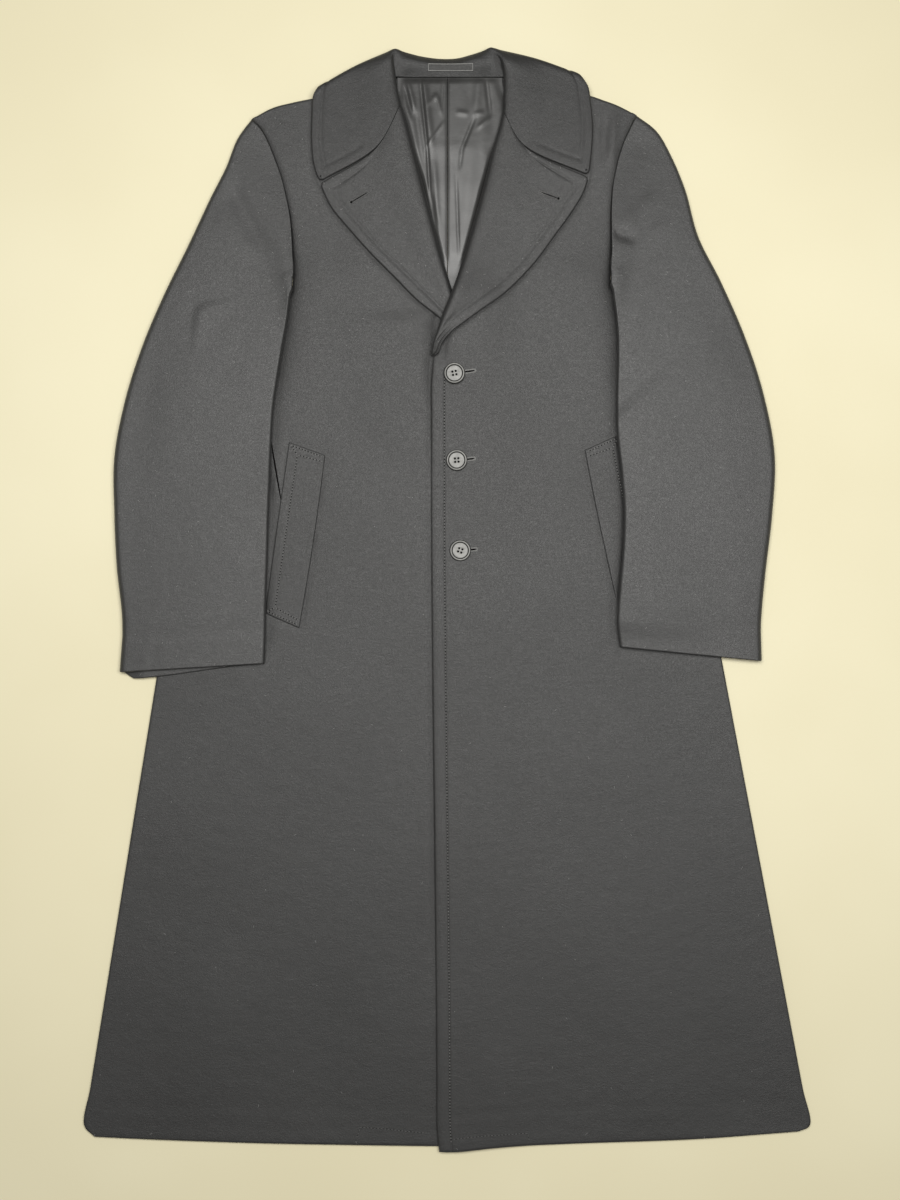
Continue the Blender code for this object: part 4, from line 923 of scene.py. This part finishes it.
def make_sleeve(side, material):
    rows = np.array(SLEEVE[side])
    t = spans(longest_spans(rows[:, :2], rows[:, 2:]), 4.5)
    inner = spline(rows[:, :2], t)
    outer = spline(rows[:, 2:], t)
    curved = np.interp(t, np.arange(len(SLEEVE_CURVE)), SLEEVE_CURVE)
    height = np.interp(t, np.arange(len(SLEEVE_HEIGHT)), SLEEVE_HEIGHT)
    width = norm(inner - outer, axis=1)
    plump = smooth(0.5, 4, t)
    outer_radius, inner_radius = ((mix(height, full, plump) - SLEEVE_CLOTH) / 2 for full in SLEEVE_PLUMP)
    bend = np.concatenate([1 - np.cos(np.linspace(0, math.pi / 2, 7)), [1.6, 2.6, 4]])
    near = bend[None] * outer_radius[:, None]
    far = bend[None] * inner_radius[:, None]
    reach = width - near[:, -1] - far[:, -1]
    middle = near[:, -1:] + reach[:, None] * np.linspace(0, 1, int(width.max() / 5))[None, 1:-1]
    over = np.hstack([near, middle, (width[:, None] - far)[:, ::-1]])
    back = over[:, -2:0:-1]
    places = np.hstack([over, back])
    above = np.concatenate([np.ones(over.shape[1]), -np.ones(back.shape[1])])[None]
    share = places / width[:, None]
    armhole = np.array(ARMHOLE[side])[::-1]
    bent = at_shares(armhole, share) - mix(armhole[0], armhole[-1], share[..., None])
    plan = mix(outer[:, None], inner[:, None], share[..., None]) + curved[:, None, None] * bent
    seam_rise = body_below(side, plan[..., 0], plan[..., 1])
    eased_end = (0.55 if side == "left" else 0.65) * smooth(0.55, 1, share)
    overlap = 0.5 + 0.4 * seam_rise * (1 - eased_end)
    plan[..., 0] -= overlap * (1 - smooth(0, 0.6, t))[:, None] * sign_of(side)
    near_fold = np.minimum(places, width[:, None] - places)
    radius = mix(outer_radius[:, None], inner_radius[:, None], share)
    down = rim_distances(plan, True)[0]
    x, y = plan[..., 0], plan[..., 1]
    lift = folds(x, y, SLEEVE_FOLDS[side]) + waves(x, y, 23 + len(side), 6, 260, 110, 0.35)
    lift = lift * smooth(2, 26, near_fold) * smooth(0, 12, down)
    ground = body_below(side, x, y)
    level = mix(ground[:, :1], ground[:, over.shape[1] - 1:over.shape[1]], 1 - (1 - share) ** 1.4)
    from_seam = smooth(3, 64, down)
    low_end = armhole[-1, 1]
    along_seam = (plain_top(side, x, y) + LAYER_GAP) * (1 - smooth(low_end - 14, low_end + 165, y))
    eased = np.maximum(level - ground, -4.2) * from_seam
    eased = eased + np.maximum(along_seam - ground, 0) * (1 - from_seam)
    crown = 0.3 * smooth(3, 55, near_fold) * smooth(4, 60, down)
    z = ground + SLEEVE_CLOTH / 2 + radius * (1 + above * rounding(near_fold, radius))
    z = z + np.where(above > 0, np.maximum(lift + crown + eased, -4.6), 0)
    along = unit((inner[-1] - inner[-4] + outer[-1] - outer[-4]) / 2)
    under = smooth(0, 0.1, share) * (1 - smooth(0.1, 1, share))
    longer = LONGER_UNDER[side] * under * smooth(len(rows) - 3, len(rows) - 1, t)[:, None]
    plan = plan + np.where(above < 0, longer, 0)[..., None] * along
    grid = np.dstack([plan, z])
    end = rim_distances(grid, True)[1]
    half = SLEEVE_CLOTH / 2 + 0 * z
    pressed = 0.25 * bell((end - 40) / 7) * (above > 0)
    return offset_shell("sleeve_cloth_" + side, grid, half - pressed, half, material, (20, 14), True, 1.2)


# Welts

def on_welt(side, down, across):
    """Plan points at shares of a welt's length and width, from its opening side's top."""
    top_open, top_front, low_front, low_open = np.array(WELT[side])
    return mix(mix(top_open, low_open, down), mix(top_front, low_front, down), across)


def make_welt(side, material):
    length, width = WELT_SIZE
    t = spans([length], 4)
    u = spans([width], 2)
    plan = on_welt(side, t[:, None, None], u[None, :, None])
    plan[..., 0] -= WELT_BOW * 4 * (t * (1 - t))[:, None] * u[None] * sign_of(side)
    top, low, open_edge, _ = rim_distances(plan)
    end = np.minimum(top, low)
    sewn = 0.3 * bell((open_edge - WELT_INSET) / 0.8) * smooth(9, WELT_INSET, end)
    ends = 0.3 * bell((end - WELT_INSET) / 0.8) * smooth(9, WELT_INSET, open_edge)
    bottom = open_top(side, plan[..., 0], plan[..., 1]) + SEAM_GAP
    return laid("welt_cloth_" + side, plan, bottom, bottom + WELT_CLOTH, material, np.maximum(sewn, ends))


# Sewing: small pieces that lie on a cloth piece

class Surface:
    """Finds the face of a piece under a plan point."""

    def __init__(self, piece):
        points = [vertex.co for vertex in piece.data.vertices]
        self.tree = BVHTree.FromPolygons(points, [list(face.vertices) for face in piece.data.polygons])

    def at(self, x, y):
        start = Vector(((x + SHIFT[0]) * MM, (y + SHIFT[1]) * MM, 0.2))
        point, normal, _, _ = self.tree.ray_cast(start, Vector((0, 0, -1)))
        if point is None:
            return None, None
        return np.array(point) / MM - SHIFT, np.array(normal)

    def heights(self, plan):
        return np.array([[self.at(*p)[0][2] for p in row] for row in plan])


def resampled(path, pitch):
    """Points at an even pitch along a path, and the direction of the path at each."""
    path = np.asarray(path, float)
    run = np.concatenate([[0], np.cumsum(norm(np.diff(path, axis=0), axis=1))])
    count = max(int(run[-1] / pitch), 1)
    places = (np.arange(count) + 0.5) * run[-1] / count
    middle, ahead, behind = (
        np.stack([np.interp(places + shift, run, path[:, k]) for k in range(2)], -1)
        for shift in (0, 0.4, -0.4)
    )
    return middle, unit(ahead - behind)


def beads(name, places, ways, surface, material, length, radius, sunk=0.25):
    """Short thread stitches that lie on a surface, each one dipping into it at both ends."""
    sides = 6
    points = []
    faces = []
    for (x, y), way in zip(places, ways):
        middle, normal = surface.at(x, y)
        if middle is None or normal[2] < 0.2:
            continue
        along = np.array((way[0], way[1], 0))
        along = unit(along - normal * np.dot(along, normal))
        across = np.cross(normal, along)
        middle = middle + normal * radius * (1 - 2 * sunk)
        first = len(points)
        points.append(middle - along * length / 2 - normal * radius * 1.3)
        for place, size, drop in ((-0.62, 0.85, -0.35), (0, 1, 0), (0.62, 0.85, -0.35)):
            for step in range(sides):
                angle = 2 * math.pi * step / sides
                offset = across * math.cos(angle) + normal * (math.sin(angle) + drop)
                points.append(middle + along * place * length / 2 + offset * radius * size)
        points.append(middle + along * length / 2 - normal * radius * 1.3)
        last = len(points) - 1
        for step in range(sides):
            after = (step + 1) % sides
            faces.append((first, first + 1 + after, first + 1 + step))
            for low in (first + 1, first + 1 + sides):
                faces.append((low + step, low + after, low + sides + after, low + sides + step))
            faces.append((last, last - sides + step, last - sides + after))
    return new_piece(name, in_metres(points), faces, material)


def row_of_stitches(name, path, surface, looks, pitch=3.6, length=1.9, radius=0.5):
    """A sewn row: the stitches, and beads of painted shade for the needle holes between them."""
    places, ways = resampled(path, pitch)
    middles = (places[1:] + places[:-1]) / 2
    # The needle holes are beads in the second look, the near-black painted shade.
    return [
        beads(name, places, ways, surface, looks[0], length, radius),
        beads(name + "_holes", middles, ways[1:], surface, looks[1], 1.7, radius * 1.3, 0.4),
    ]


def direction(start, end):
    """Direction from one plan point to another, and the one square to it."""
    way = unit(end - start)
    return way, np.array((-way[1], way[0]))


def lens(name, start, end, width, rise, surface, material):
    """A slim raised lens between two plan points, such as the painted shade inside a slit."""
    start = np.array(start)
    end = np.array(end)
    t = np.linspace(0, 1, 15)
    _, side = direction(start, end)
    wide = width / 2 * np.sin(np.clip(t, 0.02, 0.98) * math.pi) ** 0.4
    u = np.array((-1, -0.6, 0, 0.6, 1))
    plan = mix(start, end, t[:, None])[:, None] + side * (wide[:, None] * u[None])[..., None]
    middle = surface.heights(plan)
    bulge = rise * (1 - np.square(u))[None] * np.sin(t * math.pi)[:, None] ** 0.3
    return shell(name, np.dstack([plan, middle + bulge]), np.dstack([plan, middle - bulge - 0.05]), material)


def buttonhole(name, start, end, surface, thread, painted_shade, eyelet=False, width=2):
    """A worked buttonhole: a slit with thread worked round it, and lenses of painted shade in the slit and
    the eyelet.
    """
    start = np.array(start, float)
    end = np.array(end, float)
    way, side = direction(start, end)
    length = norm(end - start)
    places = []
    ways = []
    count = int(length / 0.85)
    for step in range(count):
        at = start + way * (step + 0.5) / count * length
        for hand in (-1, 1):
            wide = 1.3 if eyelet and step > count - 4 else 0.8
            places.append(at + side * hand * (wide + width * 0.4))
            ways.append(side * hand + way * 0.12 * math.sin(step * 2.1))
    for hand, at, stitches in ((-1, start, 5), (1, end, 7 if eyelet else 5)):
        for step in range(stitches):
            angle = math.pi * ((step + 0.5) / stitches - 0.5)
            out = way * hand * math.cos(angle) + side * math.sin(angle)
            places.append(at + out * width * 0.8)
            ways.append(out)
    # The slit and the eyelet are near-black lenses of painted shade.
    made = [
        beads(name + "_thread", places, ways, surface, thread, width, 0.4, 0.2),
        lens(name + "_slit_shade", start, end, 1.1 if eyelet else 2, 0.35, surface, painted_shade),
    ]
    if eyelet:
        made.append(lens(name + "_eyelet_shade", end - way * 2.2, end + way * 0.8, 2.8, 0.4, surface, painted_shade))
    return made


# Buttons

def thread_holes(turned):
    """Middles of a button's four holes, from its own middle."""
    turns = [math.radians(turned + 45 + 90 * corner) for corner in range(4)]
    return [(THREAD_HOLE_REACH * math.cos(turn), THREAD_HOLE_REACH * math.sin(turn)) for turn in turns]


def stack_rings(points, middle, profile, count):
    """Adds level rings of points on one axis, and returns their numbers, ring by ring."""
    rings = []
    for radius, height in profile:
        rings.append(list(range(len(points), len(points) + count)))
        for step in range(count):
            turn = 2 * math.pi * step / count
            points.append((middle[0] + radius * math.cos(turn), middle[1] + radius * math.sin(turn), height))
    return rings


def button_mesh(name, x, y, z, turned, material):
    """A turned disc with a raised rim, a fine ring inside it and four thread holes."""
    points = []
    rings = stack_rings(points, (0, 0), BUTTON_PROFILE, 72)
    outlines = [rings] + [stack_rings(points, middle, HOLE_PROFILE, 16) for middle in thread_holes(turned)]
    faces = []
    for loops in outlines:
        for upper, lower in zip(loops, loops[1:]):
            for step in range(len(upper)):
                after = (step + 1) % len(upper)
                face = (upper[step], lower[step], lower[after], upper[after])
                faces.append(face if loops is rings else face[::-1])
    for level in (0, -1):
        flat = [index for loops in outlines for index in loops[level]]
        vectors = [[Vector(points[index]) for index in loops[level]] for loops in outlines]
        for triangle in tessellate_polygon(vectors):
            a, b, c = (flat[corner] for corner in triangle)
            area = (points[b][0] - points[a][0]) * (points[c][1] - points[a][1])
            area -= (points[b][1] - points[a][1]) * (points[c][0] - points[a][0])
            faces.append((a, b, c) if (area > 0) == (level == 0) else (a, c, b))
    return new_piece(name, in_metres(np.array(points) + (x, y, z)), faces, material)


def button_threads(name, x, y, z, turned, thread):
    """The thread that comes up in each of a button's four holes; its look is the near-black painted shade of
    the holes.
    """
    made = []
    for number, middle in enumerate(thread_holes(turned), start=1):
        points = []
        rings = np.array(stack_rings(points, middle, THREAD_PROFILE, 12))
        after = np.roll(rings, -1, axis=1)
        walls = np.stack([rings[:-1], after[:-1], after[1:], rings[1:]], -1).reshape(-1, 4)
        faces = walls.tolist() + [rings[0, ::-1].tolist(), rings[-1].tolist()]
        points = in_metres(np.array(points) + (x, y, z))
        made.append(new_piece("%s_thread_%d" % (name, number), points, faces, thread))
    return made


# Materials

class Look:
    """A material, and short ways to add nodes to it."""

    def __init__(self, name):
        self.material = bpy.data.materials.new(name)
        self.material.use_nodes = True
        self.tree = self.material.node_tree
        self.shader = self.tree.nodes["Principled BSDF"]
        self.place = self.add("TexCoord").outputs["Object"]

    def link(self, value, socket):
        if isinstance(value, bpy.types.NodeSocket):
            self.tree.links.new(value, socket)
        else:
            socket.default_value = value

    def fill(self, node, **inputs):
        """Sets or links a node's inputs; a space in a name is written as _."""
        for name, value in inputs.items():
            self.link(value, node.inputs[name.replace("_", " ")])

    def add(self, kind, settings=(), **inputs):
        node = self.tree.nodes.new("ShaderNode" + kind)
        for name, value in settings:
            setattr(node, name, value)
        self.fill(node, **inputs)
        return node

    def set(self, **inputs):
        self.fill(self.shader, **inputs)

    def stretched(self, size, turn):
        return self.add("Mapping", Vector=self.place, Scale=size, Rotation=(0, 0, turn)).outputs["Vector"]

    def noise(self, scale, detail=2, rough=0.5, size=(1, 1, 1), turn=0, warp=0):
        node = self.add("TexNoise", Vector=self.stretched(size, turn), Scale=scale, Detail=detail)
        self.fill(node, Roughness=rough, Distortion=warp)
        return node.outputs["Fac"]

    def wave(self, scale, degrees, warp=0):
        place = self.stretched((1, 1, 1), math.radians(degrees))
        return self.add("TexWave", Vector=place, Scale=scale, Distortion=warp).outputs["Fac"]

    def span(self, value, low, high, to_low=0, to_high=1):
        node = self.add("MapRange", [("interpolation_type", "SMOOTHSTEP")], Value=value)
        self.fill(node, From_Min=low, From_Max=high, To_Min=to_low, To_Max=to_high)
        return node.outputs["Result"]

    def far_from(self, x, y):
        """Distance in plan, in metres, from a vertical line at a plan point."""
        middle = (-(x + SHIFT[0]) * MM, -(y + SHIFT[1]) * MM, 0)
        node = self.add("Mapping", Vector=self.place, Location=middle, Scale=(1, 1, 0))
        length = self.add("VectorMath", [("operation", "LENGTH")])
        self.link(node.outputs["Vector"], length.inputs[0])
        return length.outputs["Value"]

    def calc(self, operation, a, b):
        node = self.add("Math", [("operation", operation)])
        self.link(a, node.inputs[0])
        self.link(b, node.inputs[1])
        return node.outputs["Value"]

    def blend(self, share, a, b):
        return self.add("Mix", [("data_type", "RGBA")], Factor=share, A=a, B=b).outputs["Result"]

    def bump(self, *layers):
        """Bump from (height, depth in metres) layers, one on another."""
        before = {}
        for height, depth in layers:
            node = self.add("Bump", Strength=1, Distance=depth, Height=height, **before)
            before = {"Normal": node.outputs["Normal"]}
        self.set(**before)


def grey(level, tint=(1, 0.995, 0.965)):
    return (level * tint[0], level * tint[1], level * tint[2], 1)


def wool(name, level, gloss):
    """Dark felted wool: a fine nap, slubs along the weft, lint and soft patches."""
    look = Look(name)
    patches = look.noise(6, 3, 0.55)
    cloud = look.noise(45, size=(1, 1.3, 1))
    nap = look.noise(1100, 3, 0.65)
    slub = look.noise(520, 3, 0.65, size=(0.22, 1, 1))
    speck = look.noise(430, 3, 0.75, warp=0.8)
    lint = look.noise(260, 4, 0.7, warp=1.5)
    base = look.blend(look.span(patches, 0.32, 0.7), grey(level * 0.85), grey(level * 1.12))
    base = look.blend(look.span(slub, 0.45, 0.75, 0, 0.5), base, grey(level * 1.7))
    base = look.blend(look.span(nap, 0.3, 0.6, 0.5, 0), base, grey(level * 0.5))
    base = look.blend(look.span(lint, 0.7, 0.78, 0, 0.6), base, grey(level * 8))
    rough = look.calc("ADD", look.span(nap, 0.3, 0.7, 0.47, 0.62), look.span(patches, 0.3, 0.7, 0, 0.03))
    rough = look.calc("ADD", rough, look.span(speck, 0.3, 0.7, 0.045, -0.045))
    rough = look.calc("SUBTRACT", rough, look.span(slub, 0.45, 0.75, 0, 0.035))
    look.set(Base_Color=base, Roughness=rough, Specular_IOR_Level=gloss)
    look.set(Sheen_Weight=0.06, Sheen_Roughness=0.5, Sheen_Tint=(0.8, 0.8, 0.78, 1))
    twill = look.wave(330, 58, 1.2)
    look.bump((cloud, 0.0004), (speck, 0.0003), (nap, 0.0003), (slub, 0.0001), (twill, 0.00003))
    return look.material


def satin(name, level):
    look = Look(name)
    patches = look.noise(14, 3)
    weft = look.noise(1500, size=(0.1, 1, 1))
    creases = look.noise(38, warp=0.6)
    base = look.blend(look.span(patches, 0.3, 0.7), grey(level * 0.8), grey(level * 1.15))
    base = look.blend(look.span(weft, 0.4, 0.7, 0, 0.4), base, grey(level * 1.5))
    look.set(Base_Color=base, Roughness=look.span(patches, 0.3, 0.7, 0.36, 0.44))
    look.set(Specular_IOR_Level=0.55, Sheen_Weight=0.05, Sheen_Roughness=0.3)
    look.bump((creases, 0.0003), (weft, 0.00003))
    return look.material


def horn(name, x, y):
    """Grey horn, with painted shade in the ring groove and down the outer side of a button at x, y."""
    look = Look(name)
    out = look.calc("MULTIPLY", look.far_from(x, y), 1 / MM)
    # Painted shade: near-black and rougher in the ring groove and down the outer side, where shade falls.
    ring = look.calc("MULTIPLY", look.span(out, 8.5, 8.9), look.span(out, 9.6, 10, 1, 0))
    painted_shade = look.calc("MAXIMUM", ring, look.span(out, 11.2, 11.7))
    cloud = look.noise(120, 4, 0.6, size=(1, 0.5, 1), turn=0.6, warp=1.2)
    grain = look.noise(900, 2, 0.6)
    pale = (1, 0.995, 0.94)
    base = look.blend(look.span(cloud, 0.35, 0.68), grey(0.21, pale), grey(0.3, pale))
    rough = look.calc("ADD", look.span(grain, 0.3, 0.7, 0.42, 0.52), look.calc("MULTIPLY", painted_shade, 0.4))
    look.set(Base_Color=look.blend(painted_shade, base, grey(0.012)), Roughness=rough, Specular_IOR_Level=0.5)
    look.bump((cloud, 0.00008), (grain, 0.00003))
    return look.material


def mottled(name, scale, low, high, smoothest, roughest, **inputs):
    """A look whose colour and roughness follow one fine noise."""
    look = Look(name)
    noise = look.noise(scale)
    look.set(Base_Color=look.blend(look.span(noise, 0.3, 0.7), grey(low), grey(high)))
    look.set(Roughness=look.span(noise, 0.3, 0.7, smoothest, roughest), **inputs)
    return look


def woven_label(name):
    look = mottled(name, 600, 0.05, 0.09, 0.55, 0.7, Sheen_Weight=0.2)
    look.bump((look.wave(900, 0), 0.00008), (look.wave(900, 90), 0.00005))
    return look.material


def thread(name, level):
    look = mottled(name, 2500, level * 0.7, level * 1.3, 0.5, 0.75, Sheen_Weight=0.2)
    look.bump((look.wave(900, 35, 1), 0.00006))
    return look.material


def painted_gap_shade(name):
    """Painted shade: a near-black look for the shadow inside a slit or a hole."""
    return mottled(name, 900, 0.002, 0.005, 0.85, 0.95, Specular_IOR_Level=0.05).material


def pale_floor():
    look = Look("pale_floor")
    cloud = look.noise(2.2, 3)
    grain = look.noise(500)
    warm = look.blend(look.span(cloud, 0.3, 0.7), (0.755, 0.695, 0.48, 1), (0.8, 0.745, 0.53, 1))
    look.set(Base_Color=warm, Roughness=look.span(grain, 0.3, 0.7, 0.55, 0.65), Specular_IOR_Level=0.3)
    look.bump((grain, 0.00005))
    return look.material


# The coat

def ride_all(pieces):
    for piece in pieces:
        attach(piece, "root")


def declare(piece, node, small=()):
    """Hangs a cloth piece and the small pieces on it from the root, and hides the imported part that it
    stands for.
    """
    ride_all([*small, piece])
    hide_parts(node)


def lint(name, piece, count, seed, look):
    """A few pale specks and short fibres on a piece's face."""
    random = np.random.default_rng(seed)
    face = Surface(piece)
    facing_up = np.array([vertex.co for vertex in piece.data.vertices if vertex.normal.z > 0.97])
    places = (facing_up / MM - SHIFT)[random.integers(0, len(facing_up), count), :2]
    turns = random.uniform(0, math.pi, count)
    ways = np.stack([np.cos(turns), np.sin(turns)], -1)
    specks = beads(name + "_specks", places[::2], ways[::2], face, look, 1.1, 0.3)
    return [specks, beads(name + "_fibres", places[1::2], ways[1::2], face, look, 3.6, 0.14)]


def front_edge_path(distance, low_y, high_y):
    points = np.array(front_edge("right"))
    y = np.linspace(high_y, low_y, 60)
    x = np.interp(y, points[:, 1], points[:, 0])
    return np.stack([x + distance, y], -1)


def make_buttons(face, thread, painted_shade):
    """The three buttons on the right front's face, and the buttonholes under them."""
    holes = []
    reach = [BUTTON_RADIUS * share for share in (-1, -0.5, 0, 0.5, 1)]
    for number, ((x, y, turned), end) in enumerate(zip(BUTTONS, HOLE_ENDS), start=1):
        z = max(face.at(x + dx, y + dy)[0][2] for dx in reach for dy in reach) + SEAM_GAP
        name = "button_%d_piece" % number
        piece = button_mesh(name, x, y, z, turned, horn("button_look_%d" % number, x, y))
        # The thread in the holes takes the near-black painted shade look, for the shade down the holes.
        ride_all([piece] + button_threads(name, x, y, z, turned, painted_shade))
        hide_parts("button_%d" % number)
        start = (x + 10.5, y + (end[1] - y) * 0.45)
        holes.extend(buttonhole("buttonhole_%d" % number, start, end, face, thread, painted_shade))
    return holes


def build_coat():
    body = wool("wool_cloth", 0.0125, 0.78)
    # Painted light and shade: the sleeve look is a lighter, glossier copy of the body wool, and the collar
    # look is a darker, less glossy copy.
    sleeve_cloth = wool("wool_sleeve_lit_copy", 0.013, 0.92)
    collar_cloth = wool("wool_collar_shaded_copy", 0.0115, 0.68)
    lining = satin("satin_cloth", 0.034)
    # Painted shade: the near-black look for slits, needle holes and the holes of the buttons.
    painted_shade = painted_gap_shade("slit_shadow")
    sewn = (thread("seam_thread", 0.19), painted_shade)
    hole_thread = thread("hole_thread", 0.28)
    hem_thread = thread("hem_thread", 0.1)
    lint_look = thread("lint", 0.32)
    for side in SIDES:
        declare(make_back(side, body), "back_" + side)
        declare(make_lining(side, lining), "lining_" + side)

    fronts = {side: make_front(side, body) for side in SIDES}
    faces = {side: Surface(fronts[side]) for side in SIDES}
    edge_row = front_edge_path(STITCH_INSET, -622, 262)
    small = {"right": row_of_stitches("front_edge_stitches", edge_row, faces["right"], sewn)}
    small["right"].extend(make_buttons(faces["right"], hole_thread, painted_shade))
    # A near-black lens of painted shade along the fold at the pocket opening.
    small["left"] = [lens("pocket_opening_shade", *POCKET_OPENING, 2, 0.3, faces["left"], painted_shade)]
    for side in SIDES:
        small[side].extend(hem_stitches(side, faces[side], (hem_thread, painted_shade)))
        small[side].extend(lint("lint_front_" + side, fronts[side], 120, 7, lint_look))
        declare(fronts[side], "front_" + side, small[side])

    for side in SIDES:
        lapel = make_lapel(side, body)
        extra = lint("lint_lapel_" + side, lapel, 26, 31, lint_look)
        hole = ("lapel_hole_" + side, *LAPEL_HOLE[side], Surface(lapel), hem_thread, painted_shade, True, 1.5)
        extra.extend(buttonhole(*hole))
        declare(lapel, "lapel_" + side, extra)
    collar = make_collar(collar_cloth)
    declare(collar, "collar")
    label, border = make_label(woven_label("label_look"), thread("border_thread", 0.42), Surface(collar))
    declare(label, "neck_label", border)
    for side in SIDES:
        welt = make_welt(side, body)
        stitches = welt_stitches(side, Surface(welt), sewn)
        declare(welt, "welt_" + side, stitches)
    for side in SIDES:
        sleeve = make_sleeve(side, sleeve_cloth)
        extra = lint("lint_sleeve_" + side, sleeve, 110, 17, lint_look)
        declare(sleeve, "sleeve_" + side, extra)


def hem_stitches(side, surface, looks):
    """Faint rows where the facing is sewn to the hem."""
    path = resampled(HEM_ROW[side], 2)[0]
    return row_of_stitches("hem_stitches_" + side, path, surface, looks, 3.8, 2.6, 0.26)


def make_label(material, edging, surface):
    """The bare neck label, and the border sewn round it."""
    x0, y0 = LABEL_MIDDLE
    width, height = LABEL_SIZE
    x = x0 - width / 2 + width * spans([width], 2)
    plan = np.dstack(np.meshgrid(x, y0 - height / 2 + height * spans([height], 1)))
    bottom = surface.heights(plan) + 0.3
    raised = 0.18 * bell((np.min(rim_distances(plan), axis=0) - 0.9) / 0.45)
    piece = laid("label_cloth", plan, bottom, bottom + 0.6 + raised, material)
    face = Surface(piece)
    reach = (width / 2 - 0.7, height / 2 - 0.7)
    corners = [(x0 + a * reach[0], y0 + b * reach[1]) for a, b in ((-1, -1), (1, -1), (1, 1), (-1, 1))]
    border = []
    for number, line in enumerate(zip(corners, corners[1:] + corners[:1]), start=1):
        places, ways = resampled(line, 1.1)
        border.append(beads("label_border_%d" % number, places, ways, face, edging, 1.25, 0.3, 0.3))
    return piece, border


def welt_stitches(side, surface, looks):
    inset = WELT_INSET / (WELT_SIZE[1] - 1)
    end = WELT_INSET / WELT_SIZE[0]
    rows = (
        ("side", (end, inset), (1 - end, inset)),
        ("top", (end, inset), (end * 0.75, 0.97)),
        ("low", (1 - end, inset), (1 - end * 0.75, 0.97)),
        ("low_edge", (0.985, 0.05), (0.985, 0.95)),
        ("top_edge", (0.015, 0.05), (0.015, 0.95)),
        ("mitre_top", (0.012, 0.04), (end, inset)),
        ("mitre_low", (0.988, 0.04), (1 - end, inset)),
    )
    made = []
    for name, *places in rows:
        line = [on_welt(side, *place) for place in places]
        made.extend(row_of_stitches("welt_%s_%s" % (name, side), line, surface, looks, 3.4, 1.8, 0.46))
    return made


def place_object(name, data, place):
    made = bpy.data.objects.new(name, data)
    made.location = place
    bpy.context.scene.collection.objects.link(made)
    return made


def set_stage():
    corners = [(a * FLOOR_HALF, b * FLOOR_HALF, -0.0004) for a, b in ((-1, -1), (1, -1), (1, 1), (-1, 1))]
    new_piece("floor", corners, [(0, 1, 2, 3)], pale_floor())
    scene = bpy.context.scene
    scene.world = bpy.data.worlds.new("soft_room")
    scene.world.use_nodes = True
    room = scene.world.node_tree.nodes["Background"].inputs
    room["Color"].default_value = (1, 0.985, 0.95, 1)
    room["Strength"].default_value = 0.16
    scene.view_settings.view_transform = "Standard"
    light = bpy.data.lights.new("key_light", "AREA")
    light.shape = "RECTANGLE"
    light.size, light.size_y = LIGHT_SIZE
    light.energy = 55
    light.color = (1, 0.99, 0.965)
    key_light = place_object("key_light", light, LIGHT_PLACE)
    towards = Vector(LIGHT_AIM) - Vector(LIGHT_PLACE)
    key_light.rotation_euler = towards.to_track_quat("-Z", "Y").to_euler()
    camera = bpy.data.cameras.new("camera")
    camera.lens = 52.17
    camera.sensor_width = 36
    scene.camera = place_object("camera", camera, CAMERA_PLACE)


build_coat()
set_stage()
